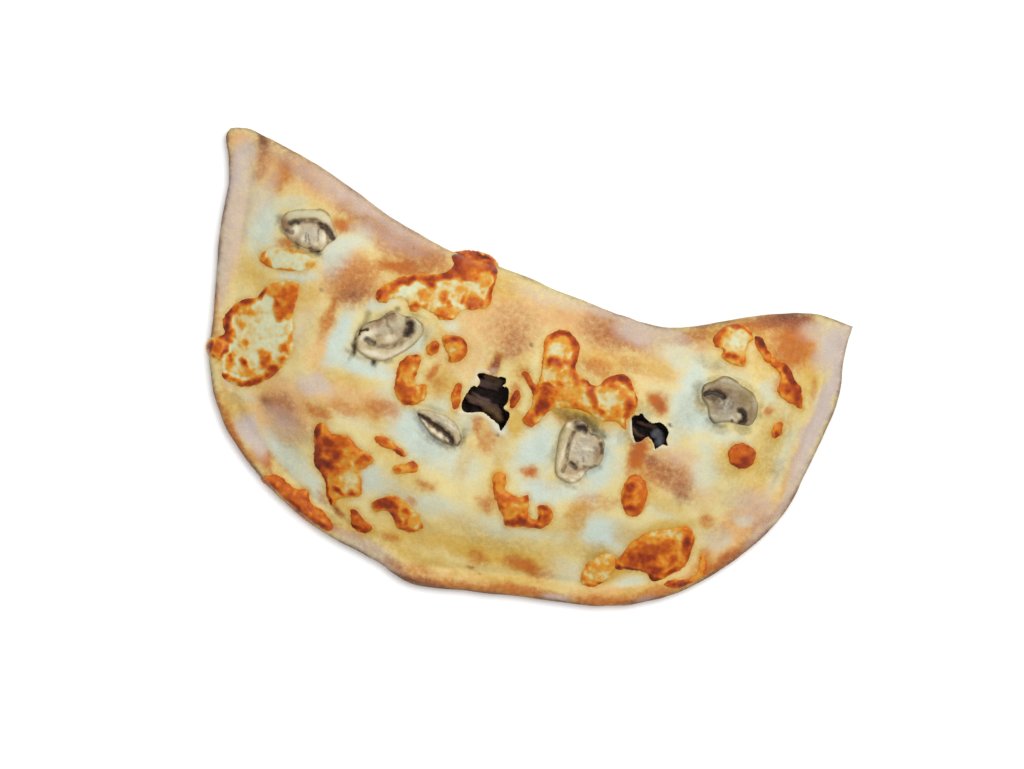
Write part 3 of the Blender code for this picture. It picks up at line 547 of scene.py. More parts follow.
def roof_height(xy):
    """Height of the crust's upper side, with the waves and wrinkles of the baked dough."""
    parts = section(xy)
    height = smooth_roof(xy, parts)
    relief = millimetres(bpy.context.scene.calzone_dough, "relief")
    waves = 0.9 * noise(xy, 26, 11, 2) + 0.45 * noise(xy, 9, 12, 2) + 0.16 * noise(xy, 2.6, 13, 2)
    height += relief * waves * smoothstep(np.minimum(parts[0], parts[1]), 0, 7)
    for points in TEARS.values():
        ring = closed_curve(points, 4)
        gap = np.abs(depth_inside(ring, xy))
        height += 0.8 * np.exp(-(gap / 1.6) ** 2) * (0.4 + 0.6 * noise(xy, 7, 17))
    for points, half_width, depth, _ in CREVICES:
        height -= depth * groove(xy, points, half_width)
    for points, half_width in TORN_LIPS:
        height += 0.7 * groove(xy, points, half_width)
    return height


def floor_height(xy):
    """Height of the underside: flat on the table, turned up at its edges."""
    middle, share = section(xy)[2:]
    return middle * (1 - share)


# ---------------------------------------------------------------- modelling helpers

def deselect():
    bpy.ops.object.select_all(action="DESELECT")


def grid(name, columns, rows):
    """A flat grid primitive, one unit wide, as the start of a piece; returns it with its u and v."""
    deselect()
    bpy.ops.mesh.primitive_grid_add(x_subdivisions=columns, y_subdivisions=rows, size=1)
    piece = bpy.context.object
    piece.name = name
    piece.data.name = name
    places = read_places(piece)
    return piece, places[:, 0] + 0.5, places[:, 1] + 0.5


def read_places(piece):
    places = np.empty(len(piece.data.vertices) * 3, np.float32)
    piece.data.vertices.foreach_get("co", places)
    return places.reshape(-1, 3).astype(float)


def write_places(piece, millimetre_places):
    """Move a piece's vertices to places given in the plan's millimetres."""
    places = np.array(millimetre_places, float)
    places[:, :2] -= PLAN_CENTRE
    piece.data.vertices.foreach_set("co", (places * MM).astype(np.float32).ravel())
    piece.data.update()


def plan_places(piece):
    """A piece's vertices in the plan's millimetres."""
    places = read_places(piece) / MM
    places[:, :2] += PLAN_CENTRE
    return places


def weld(piece, merge=0.01):
    """Join vertices that meet and turn all faces outwards."""
    deselect()
    piece.select_set(True)
    bpy.context.view_layer.objects.active = piece
    bpy.ops.object.mode_set(mode="EDIT")
    bpy.ops.mesh.select_all(action="SELECT")
    bpy.ops.mesh.remove_doubles(threshold=merge * MM)
    bpy.ops.mesh.dissolve_degenerate(threshold=merge * MM / 10)
    bpy.ops.mesh.normals_make_consistent(inside=False)
    bpy.ops.mesh.select_all(action="DESELECT")
    bpy.ops.object.mode_set(mode="OBJECT")


def delete_outside(piece, keep):
    """Delete the vertices that are not to be kept."""
    bpy.ops.object.mode_set(mode="EDIT")
    bpy.ops.mesh.select_mode(type="VERT")
    bpy.ops.mesh.select_all(action="DESELECT")
    bpy.ops.object.mode_set(mode="OBJECT")
    piece.data.vertices.foreach_set("select", ~keep)
    bpy.ops.object.mode_set(mode="EDIT")
    bpy.ops.mesh.delete(type="VERT")
    bpy.ops.object.mode_set(mode="OBJECT")


def apply_modifier(piece, kind, **values):
    """Add a modifier with its values and apply it."""
    deselect()
    piece.select_set(True)
    bpy.context.view_layer.objects.active = piece
    modifier = piece.modifiers.new(kind.lower(), kind)
    for key, value in values.items():
        setattr(modifier, key, value)
    bpy.ops.object.modifier_apply(modifier=modifier.name)


def cut(piece, cutter):
    """Take a cutter's form away from a piece and remove the cutter."""
    apply_modifier(piece, "BOOLEAN", operation="DIFFERENCE", object=cutter)
    bpy.data.objects.remove(cutter)


def store(piece, name, values):
    """Keep one number a vertex as a named attribute."""
    attribute = piece.data.attributes.new(name, "FLOAT", "POINT")
    attribute.data.foreach_set("value", np.asarray(values, np.float32))


def finish_piece(piece, material, nodes=()):
    """Shade a piece smooth, give it its material and hang it in the frame."""
    piece.data.materials.clear()
    piece.data.materials.append(material)
    piece.data.shade_smooth()
    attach(piece, "root")
    if nodes:
        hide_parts(*nodes)


# ---------------------------------------------------------------- shader helpers

def node(tree, kind, inputs=None, **settings):
    """Add a shader node, set its values and link the sockets that are given."""
    item = tree.nodes.new("ShaderNode" + kind)
    for key, value in settings.items():
        setattr(item, key, value)
    for key, value in (inputs or {}).items():
        if isinstance(value, bpy.types.NodeSocket):
            tree.links.new(value, item.inputs[key])
        else:
            item.inputs[key].default_value = value
    return item


def math_node(tree, operation, *values, clamp=False):
    inputs = {i: value for i, value in enumerate(values)}
    return node(tree, "Math", inputs, operation=operation, use_clamp=clamp).outputs[0]


def mix(tree, factor, first, second, blend="MIX"):
    first = (*first, 1) if isinstance(first, tuple) else first
    second = (*second, 1) if isinstance(second, tuple) else second
    return node(tree, "Mix", {0: factor, 6: first, 7: second}, data_type="RGBA", blend_type=blend,
                clamp_factor=True).outputs[2]


def attribute(tree, name):
    return node(tree, "Attribute", attribute_name=name).outputs["Fac"]


def object_places(tree):
    return node(tree, "TexCoord").outputs["Object"]


def noise_node(tree, places, size, detail=2.0, roughness=0.5):
    """Noise whose features are a size in millimetres."""
    return node(tree, "TexNoise", {"Vector": places, "Scale": 1 / (size * MM), "Detail": detail,
                                   "Roughness": roughness}).outputs["Fac"]


def remap(tree, value, low, high, to_low=0.0, to_high=1.0):
    return node(tree, "MapRange", {0: value, 1: low, 2: high, 3: to_low, 4: to_high}).outputs[0]


def new_material(name):
    material = bpy.data.materials.new(name)
    material.use_nodes = True
    tree = material.node_tree
    shader = tree.nodes["Principled BSDF"]
    return material, tree, shader


def new_group(name, inputs, outputs):
    """A shader node group with named value sockets."""
    group = bpy.data.node_groups.new(name, "ShaderNodeTree")
    for socket, kind, default in inputs:
        item = group.interface.new_socket(name=socket, in_out="INPUT", socket_type=kind)
        if default is not None:
            item.default_value = default
    for socket in outputs:
        group.interface.new_socket(name=socket, in_out="OUTPUT", socket_type="NodeSocketFloat")
    start = group.nodes.new("NodeGroupInput")
    end = group.nodes.new("NodeGroupOutput")
    return group, start, end


def grain_group():
    """Fine grain and wider mottling, each from 0 to 1, and a height made of both."""
    group, start, end = new_group("grain", [("Vector", "NodeSocketVector", None),
                                            ("Fine", "NodeSocketFloat", 1000.0),
                                            ("Wide", "NodeSocketFloat", 250.0)],
                                  ["Grain", "Mottle", "Height"])
    fine = node(group, "TexNoise", {"Vector": start.outputs[0], "Scale": start.outputs[1], "Detail": 3.0,
                                    "Roughness": 0.6}).outputs["Fac"]
    wide = node(group, "TexNoise", {"Vector": start.outputs[0], "Scale": start.outputs[2], "Detail": 4.0,
                                    "Roughness": 0.6}).outputs["Fac"]
    group.links.new(remap(group, fine, 0.3, 0.7), end.inputs[0])
    group.links.new(remap(group, wide, 0.3, 0.7), end.inputs[1])
    group.links.new(math_node(group, "MULTIPLY_ADD", wide, 0.6, math_node(group, "MULTIPLY", fine, 0.4)),
                    end.inputs[2])
    return group


def use_group(tree, group, **inputs):
    item = tree.nodes.new("ShaderNodeGroup")
    item.node_tree = group
    for key, value in inputs.items():
        if isinstance(value, bpy.types.NodeSocket):
            tree.links.new(value, item.inputs[key])
        else:
            item.inputs[key].default_value = value
    return item


def ragged_group():
    """Break up a soft mask's edge with mottling."""
    group, start, end = new_group("ragged_edge", [("Mask", "NodeSocketFloat", 0.0),
                                                  ("Mottle", "NodeSocketFloat", 0.5),
                                                  ("Amount", "NodeSocketFloat", 1.0)], ["Mask"])
    mask, mottle, amount = start.outputs[0], start.outputs[1], start.outputs[2]
    slope = math_node(group, "MULTIPLY", mask, math_node(group, "SUBTRACT", 1.0, mask))
    swing = math_node(group, "MULTIPLY", math_node(group, "SUBTRACT", mottle, 0.5), amount)
    change = math_node(group, "MULTIPLY", math_node(group, "MULTIPLY", slope, swing), 4.0)
    group.links.new(math_node(group, "ADD", mask, change, clamp=True), end.inputs[0])
    return group


def shared_group(name, maker):
    return bpy.data.node_groups.get(name) or maker()


def bump(tree, height, depth, normal=None):
    """A bump whose depth is in millimetres."""
    inputs = {"Height": height, "Distance": depth * MM, "Strength": 1.0}
    if normal is not None:
        inputs["Normal"] = normal
    return node(tree, "Bump", inputs).outputs["Normal"]


# ---------------------------------------------------------------- materials

def dough_material(dough):
    """Baked dough: a cream ground with its stains and painted shade laid over each other, grain, wrinkles and flour."""
    material, tree, shader = new_material("dough_surface")
    places = object_places(tree)
    grain = use_group(tree, shared_group("grain", grain_group), Vector=places, Fine=1100.0, Wide=420.0)
    ragged = shared_group("ragged_edge", ragged_group)
    ground = tuple(dough.cream)
    # The stains, then painted shade along the rim, the pale torn crumb and painted shade deep in the tears
    for kind in (*STAINS, "edge", "crumb", "sauce"):
        mask = use_group(tree, ragged, Mask=attribute(tree, kind), Mottle=grain.outputs["Mottle"],
                         Amount=0.4).outputs[0]
        ground = mix(tree, mask, ground, tuple(getattr(dough, kind)))
    dusty = math_node(tree, "MULTIPLY_ADD", attribute(tree, "rose"), 0.6, attribute(tree, "flour"), clamp=True)
    grains = remap(tree, noise_node(tree, places, 0.55, 3.0, 0.7), 0.54, 0.68)
    ground = mix(tree, math_node(tree, "MULTIPLY", math_node(tree, "MULTIPLY", dusty, grains), 0.45), ground,
                 tuple(dough.dust))
    light = remap(tree, grain.outputs["Grain"], 0.0, 1.0, 0.94, 1.06)
    broad = remap(tree, noise_node(tree, places, 7, 4.0), 0.3, 0.7, 0.95, 1.05)
    value = math_node(tree, "MULTIPLY", light, broad)
    shaded = node(tree, "HueSaturation", {"Color": ground, "Value": value}).outputs[0]
    tree.links.new(shaded, shader.inputs["Base Color"])
    oily = math_node(tree, "ADD", attribute(tree, "gold"), attribute(tree, "milk"), clamp=True)
    rough = remap(tree, oily, 0.0, 1.0, 0.72, 0.5)
    tree.links.new(math_node(tree, "MULTIPLY_ADD", attribute(tree, "flour"), 0.2, rough),
                   shader.inputs["Roughness"])
    shader.inputs["Specular IOR Level"].default_value = 0.15
    fine = bump(tree, grain.outputs["Height"], 0.35)
    tree.links.new(bump(tree, noise_node(tree, places, 0.45, 2.0), 0.06, fine), shader.inputs["Normal"])
    return material


def cheese_material(cheese):
    """Melted cheese from pale through orange to burnt, with fine brown mottling and a greasy gloss."""
    material, tree, shader = new_material("cheese_surface")
    places = object_places(tree)
    grain = use_group(tree, shared_group("grain", grain_group), Vector=places, Fine=1100.0, Wide=420.0)
    toast = attribute(tree, "toast")
    speck = math_node(tree, "MULTIPLY", math_node(tree, "SUBTRACT", grain.outputs["Grain"], 0.5), 0.1)
    blotch = math_node(tree, "MULTIPLY", math_node(tree, "SUBTRACT", grain.outputs["Mottle"], 0.5), 0.12)
    level = math_node(tree, "ADD", toast, math_node(tree, "ADD", speck, blotch), clamp=True)
    ground = tuple(cheese.pale)
    steps = [("yellow", 0.06, 0.3), ("orange", 0.22, 0.5), ("red_brown", 0.44, 0.75), ("dark", 0.74, 1.03)]
    for name, low, high in steps:
        ground = mix(tree, remap(tree, level, low, high), ground, tuple(getattr(cheese, name)))
    value = math_node(tree, "MULTIPLY", remap(tree, grain.outputs["Grain"], 0.0, 1.0, 0.95, 1.05),
                      remap(tree, grain.outputs["Mottle"], 0.0, 1.0, 0.93, 1.07))
    shaded = node(tree, "HueSaturation", {"Color": ground, "Value": value}).outputs[0]
    tree.links.new(shaded, shader.inputs["Base Color"])
    tree.links.new(remap(tree, grain.outputs["Mottle"], 0.0, 1.0, 0.32, 0.5), shader.inputs["Roughness"])
    shader.inputs["Specular IOR Level"].default_value = 0.18
    tree.links.new(bump(tree, grain.outputs["Height"], 0.5), shader.inputs["Normal"])
    return material


def mushroom_material(mushroom):
    """A cooked mushroom slice: smooth cap, fibrous stem, dark gills with painted shade in the sunken slits and along
    the edges, pale flesh with painted highlights, and a painted shaded rim.
    """
    material, tree, shader = new_material("mushroom_surface")
    places = object_places(tree)
    grain = use_group(tree, shared_group("grain", grain_group), Vector=places, Fine=1300.0, Wide=380.0)
    ground = tuple(mushroom.cap)
    ragged = shared_group("ragged_edge", ragged_group)
    for kind in ("stem", "pale", "brown", "olive", "rim", "cream", "gills"):
        mask = use_group(tree, ragged, Mask=attribute(tree, kind), Mottle=grain.outputs["Mottle"],
                         Amount=0.6).outputs[0]
        ground = mix(tree, mask, ground, tuple(getattr(mushroom, kind)))
    light = attribute(tree, "light")
    value = math_node(tree, "MULTIPLY_ADD", grain.outputs["Grain"], 0.12, math_node(tree, "ADD", light, 0.94))
    shaded = node(tree, "HueSaturation", {"Color": ground, "Value": value}).outputs[0]
    tree.links.new(shaded, shader.inputs["Base Color"])
    tree.links.new(remap(tree, grain.outputs["Mottle"], 0.0, 1.0, 0.34, 0.5), shader.inputs["Roughness"])
    shader.inputs["Specular IOR Level"].default_value = 0.25
    tree.links.new(bump(tree, grain.outputs["Height"], 0.25), shader.inputs["Normal"])
    return material


def filling_material(dough):
    """Dark reduced filling with browned lumps; its near-black ground is partly the filling's own colour and partly
    painted shade of the hollow under the roof.
    """
    material, tree, shader = new_material("filling_surface")
    places = object_places(tree)
    grain = use_group(tree, shared_group("grain", grain_group), Vector=places, Fine=700.0, Wide=240.0)
    # Painted shade: the ground is near black for the shade of the hollow under the roof
    ground = mix(tree, grain.outputs["Mottle"], from_srgb(14, 8, 6), from_srgb(34, 18, 12))
    strips = mix(tree, remap(tree, attribute(tree, "brown"), 0.0, 1.0), from_srgb(104, 80, 76), from_srgb(118, 90, 56))
    strips = mix(tree, remap(tree, attribute(tree, "brown"), 0.0, -0.6), strips, from_srgb(128, 132, 140))
    ground = mix(tree, attribute(tree, "flesh"), ground, strips)
    tree.links.new(ground, shader.inputs["Base Color"])
    tree.links.new(remap(tree, grain.outputs["Grain"], 0.0, 1.0, 0.45, 0.7), shader.inputs["Roughness"])
    shader.inputs["Specular IOR Level"].default_value = 0.12
    tree.links.new(bump(tree, grain.outputs["Height"], 0.8), shader.inputs["Normal"])
    return material


def shared_material(name, maker, settings):
    return bpy.data.materials.get(name) or maker(settings)


# ---------------------------------------------------------------- the crust

def graded(share, edge_share, first_round, last_round, total):
    """Distance along a rib: slow round both edges, even between them."""
    first = first_round * (1 - np.cos(np.pi / 2 * np.clip(share / edge_share, 0, 1)))
    last = last_round * (1 - np.cos(np.pi / 2 * np.clip((1 - share) / edge_share, 0, 1)))
    middle = np.clip((share - edge_share) / (1 - 2 * edge_share), 0, 1)
    return first + middle * (total - first_round - last_round) + (last_round - last)


def crust_skin(name, columns, rows, roof_rows):
    """The closed skin of the crust, wrapped round ribs that run from the fold to the lip."""
    piece, u, v = grid(name, columns, rows)
    t = 0.3 * (0.5 - 0.5 * np.cos(np.pi * u)) + 0.7 * u
    start, end = points_on(FOLD_LINE, t), points_on(LIP_LINE, t)
    total = np.linalg.norm(end - start, axis=1)
    on_roof = v <= roof_rows / rows
    share = np.where(on_roof, v * rows / roof_rows, (1 - v) * rows / (rows - roof_rows))
    fold_round, lip_round = np.minimum(9, 0.3 * total), np.minimum(3.5, 0.12 * total)
    depth = graded(share, np.where(on_roof, 0.055, 0.2), fold_round, lip_round, total)
    plan = start + (end - start) * (depth / np.maximum(total, 1e-6))[:, None]
    wobble = np.column_stack([noise(plan, 9, 31, 2), noise(plan, 9, 32, 2)]) * 0.3
    heights = np.where(on_roof, roof_height(plan), floor_height(plan))
    edge = (share <= 0) | (share >= 1)
    heights[edge] = section(plan[edge])[2]
    tip = (u <= 0) | (u >= 1)
    heights[tip] = millimetres(bpy.context.scene.calzone_dough, "lip_height")
    seam = np.exp(-((heights - millimetres(bpy.context.scene.calzone_dough, "lip_height")) / 0.5) ** 2)
    inward = (start - end) / np.maximum(total, 1e-6)[:, None]
    plan = plan + wobble + inward * (seam * (share > 0.8) * 0.5)[:, None]
    write_places(piece, np.column_stack([plan, heights]))
    weld(piece)
    return piece


def filling_skin(name, columns, rows, gap):
    """The closed skin of the space under the roof, made smaller by a gap."""
    dough = bpy.context.scene.calzone_dough
    roof, floor = millimetres(dough, "roof"), millimetres(dough, "floor")
    piece, u, v = grid(name, columns, rows)
    t = 0.11 + 0.78 * np.clip(u * 1.02 - 0.01, 0, 1)
    start, end = points_on(FOLD_LINE, t), points_on(LIP_LINE, t)
    total = np.linalg.norm(end - start, axis=1)
    on_roof = v <= 0.5
    share = np.where(on_roof, 2 * v, 2 - 2 * v)
    depth = 7 + gap + share * (total - 27 - 2 * gap)
    plan = start + (end - start) * (depth / total)[:, None]
    heights = np.where(on_roof, smooth_roof(plan) - roof - gap, floor + gap)
    end_cap = (u < 0.004) | (u > 0.996)
    middle = start + (end - start) * 0.45
    plan = np.where(end_cap[:, None], middle, plan)
    heights = np.where(end_cap, floor + 2, heights)
    return piece, plan, heights


def torn_plug(name, points):
    """A ragged plug that tears a hole in the roof, wider below than above."""
    piece, u, v = grid(name, 180, 14)
    ring = closed_curve(points, 8)
    around = points_on(np.vstack([ring, ring[:1]]), u % 1.0)
    centre = ring.mean(0)
    level = np.clip(v * 1.2 - 0.1, 0, 1)
    top = smooth_roof(around)
    heights = top + 4 - 12 * (1 - level)
    below = np.clip((top - 0.3 - heights) / 3.5, 0, 1.5)
    ragged = 0.35 * noise(np.column_stack([arc_lengths(around)[:, None] * 0 + around[:, :1] * 3 + around[:, 1:],
                                           heights[:, None] * 2]), 1.4, 41, 2)
    outward = around - centre
    outward /= np.linalg.norm(outward, axis=1)[:, None]
    plan = around + outward * (1.6 * below + ragged)[:, None]
    cap = (v < 0.05) | (v > 0.95)
    plan = np.where(cap[:, None], centre, plan)
    write_places(piece, np.column_stack([plan, heights]))
    weld(piece)
    return piece


def stain_mask(xy, stains, seed):
    """The strength of one kind of stain at each point, with uneven edges."""
    shift = np.column_stack([noise(xy, 7, seed, 3), noise(xy, 7, seed + 1, 3)]) * 1.9
    clear = np.ones(len(xy))
    for x, y, long, wide, turn, strength in stains:
        near = (np.abs(xy[:, 0] - x) < 1.6 * max(long, wide) + 5) & (np.abs(xy[:, 1] - y) < 1.6 * max(long, wide) + 5)
        reach = min(1, wide / 4)
        clear[near] *= 1 - strength * spot(xy[near] + shift[near] * reach, x, y, long, wide, turn, 0.65)
    return 1 - clear


def cheese_halo(xy):
    """Where fat from the cheese has browned the dough round it."""
    halo = np.zeros(len(xy))
    for base, shape, _ in CHEESE.values():
        ring = cheese_ring(shape)
        near = near_box(xy, ring, 5)
        gap = distance(np.vstack([ring, ring[:1]]), xy[near]) + 0.6 * noise(xy[near], 3, 61, 2)
        halo[near] = np.maximum(halo[near], np.exp(-(gap / 1.7) ** 2) * (0.35 + 0.5 * base))
    return halo


# Pale raised lips of torn dough: points and half width
TORN_LIPS = [([(-12.5, -7.5), (-6, -5.6), (-1, -5.4), (4, -7), (8, -10.6), (10.5, -10.8)], 1.1),
             ([(-10.8, 8), (-9.2, 10), (-10.6, 12), (-9.5, 15), (-5, 15.2)], 0.8),
             ([(83, 3.6), (85.5, 5.5), (88.5, 6)], 0.9), ([(68.5, 13), (69.6, 8), (72.5, 4)], 0.7)]


def store_stains(piece):
    """Keep the stains and painted shade of the dough as attributes, with painted shade along the rim and in the
    crevices, the pale torn dough, and painted shade deep inside the tears.
    """
    places = plan_places(piece)
    xy = places[:, :2]
    masks = {kind: stain_mask(xy, stains, 200 + 10 * index) for index, (kind, stains) in enumerate(STAINS.items())}
    skirts = [(x, y, long + 2, wide + 2, turn, 0.6 * strength) for x, y, long, wide, turn, strength
              in STAINS["toast"]]
    masks["gold"] = 1 - (1 - masks["gold"]) * (1 - stain_mask(xy, skirts, 230))
    halo = cheese_halo(xy)
    masks["gold"] = 1 - (1 - masks["gold"]) * (1 - halo)
    masks["toast"] = 1 - (1 - masks["toast"]) * (1 - 0.5 * halo ** 2)
    # Paint the shade of each crevice into the scorched mask
    for points, half_width, _, darkness in CREVICES:
        masks["char"] = np.maximum(masks["char"], darkness * groove(xy, points, 1.1 * half_width))
    # Painted shade: a dark line along the outline, stronger away from the middle of the fold
    rim = distance(np.vstack([OUTLINE, OUTLINE[:1]]), xy)
    uneven = 0.62 + 0.38 * noise(xy, 12, 63, 3)
    side = 0.55 + 0.45 * smoothstep(np.hypot(xy[:, 0] * 0.9, xy[:, 1] - 60), 40, 110)
    masks["edge"] = uneven * side * (0.9 * np.exp(-(rim / 1.3) ** 2) + 0.25 * np.exp(-(rim / 4) ** 2))
    for kind, mask in masks.items():
        store(piece, kind, np.clip(mask, 0, 1))
    depth = smooth_roof(xy) - places[:, 2]
    near_tear = np.zeros(len(xy))
    for points in TEARS.values():
        near_tear = np.maximum(near_tear, smoothstep(depth_inside(closed_curve(points, 4), xy), -5, -1))
    crumb = near_tear * smoothstep(depth, 0.4, 1.2)
    for points, half_width in TORN_LIPS:
        crumb = np.maximum(crumb, 0.85 * groove(xy, points, half_width))
    store(piece, "crumb", crumb)
    # Painted shade: the tear walls turn near black with depth
    store(piece, "sauce", near_tear * smoothstep(depth, 2.2, 3.8))


class CALZONE_OT_crust(bpy.types.Operator):
    """Model the hollow crust with its lip, crease and tears"""
    bl_idname = "calzone.make_crust"
    bl_label = "Crust"

    def execute(self, context):
        crust = crust_skin("folded_crust", 430, 200, 165)
        cavity, plan, heights = filling_skin("cavity", 60, 40, 0)
        write_places(cavity, np.column_stack([plan, heights]))
        weld(cavity)
        cut(crust, cavity)
        for name, points in TEARS.items():
            cut(crust, torn_plug(name, points))
        store_stains(crust)
        material = shared_material("dough_surface", dough_material, context.scene.calzone_dough)
        finish_piece(crust, material, ["crust"])
        return {"FINISHED"}


# Strips of mushroom in the filling: points, half width, lift, how brown
FILLING_BANDS = [
    ([(-6, 13.4), (-2, 13.8), (2, 13)], 1.8, 2.4, 0.9), ([(-8, 10.6), (-3, 10.2), (2, 11)], 1.3, 2.6, 0.15),
    ([(-8, 8.6), (-3, 8.4), (1, 9)], 1.2, 2.2, 0.1),
    ([(-10, 3.6), (-6, 2.6), (-1, 2.2)], 1.0, 3.4, 0.0), ([(-12, 1), (-6, 0.6), (-1, 0.4),
    (3, 0.4)], 1.3, 2.6, 0.5),
    ([(-10, -1.2), (-5, -0.8), (0, -1.4)], 0.9, 2.6, 0.1),
    ([(-1, -1.6), (3, -2.4), (7, -4.8)], 2.6, 3.6, 0.9), ([(4.4, -0.2), (6, -1)], 1.2, 4.2, 0.2),
    ([(81, 11), (82, 12), (84, 10), (84.5, 7)], 2.4, 3.2, -0.6), ([(72, 14), (76, 14),
    (80, 14.4)], 1.2, 1.6, 0.4),
    ([(70, 10), (73, 8), (75, 8)], 1.2, 1.6, 0.5),
]


class CALZONE_OT_filling(bpy.types.Operator):
    """Model the dark filling that shows in the tears"""
    bl_idname = "calzone.make_filling"
    bl_label = "Filling"

    def execute(self, context):
        filling, plan, heights = filling_skin("sunken_filling", 330, 280, 0.4)
        dish = np.zeros(len(plan))
        for points in TEARS.values():
            dish = np.maximum(dish, smoothstep(depth_inside(closed_curve(points, 4), plan), -9, 2))
        upper = heights > 6
        lift, flesh, brown = np.zeros(len(plan)), np.zeros(len(plan)), np.zeros(len(plan))
        for points, half_width, rise, tone in FILLING_BANDS:
            gap = distance(open_curve(points, 5), plan) / half_width + 0.12 * noise(plan, 2, 55, 2)
            body = np.sqrt(np.clip(1 - gap ** 2, 0, 1)) * upper
            brown = np.where(body > flesh, tone, brown)
            lift, flesh = np.maximum(lift, rise * body), np.maximum(flesh, body)
        sunk = dish * (6.5 + 0.9 * noise(plan, 4, 51, 3)) - lift - 0.15 * flesh * noise(plan, 1.0, 53, 2)
        write_places(filling, np.column_stack([plan, np.where(upper, heights - sunk, heights)]))
        store(filling, "flesh", smoothstep(flesh, 0.1, 0.7) * (0.75 + 0.25 * noise(plan, 2.5, 54, 2)))
        store(filling, "brown", brown)
        weld(filling)
        material = shared_material("filling_surface", filling_material, context.scene.calzone_dough)
        finish_piece(filling, material, ["filling"])
        return {"FINISHED"}


# ---------------------------------------------------------------- toppings

def laid_patch(name, ring, cell, margin):
    """A fine grid over a closed outline and a margin round it; returns it with its vertices' places in the plan."""
    low, high = ring.min(0) - margin - cell, ring.max(0) + margin + cell
    columns, rows = (int(n) for n in np.ceil((high - low) / cell))
    piece, u, v = grid(name, columns, rows)
    plan = low + np.column_stack([u, v]) * (high - low)
    depth = depth_inside(ring, plan)
    write_places(piece, np.column_stack([plan, np.zeros(len(plan))]))
    keep = depth > -margin
    delete_outside(piece, keep)
    return piece, plan_places(piece)[:, :2]


def close_underneath(piece, thickness):
    """Give a draped skin its underside."""
    apply_modifier(piece, "SOLIDIFY", thickness=thickness * MM, offset=-1.0, use_even_offset=False)


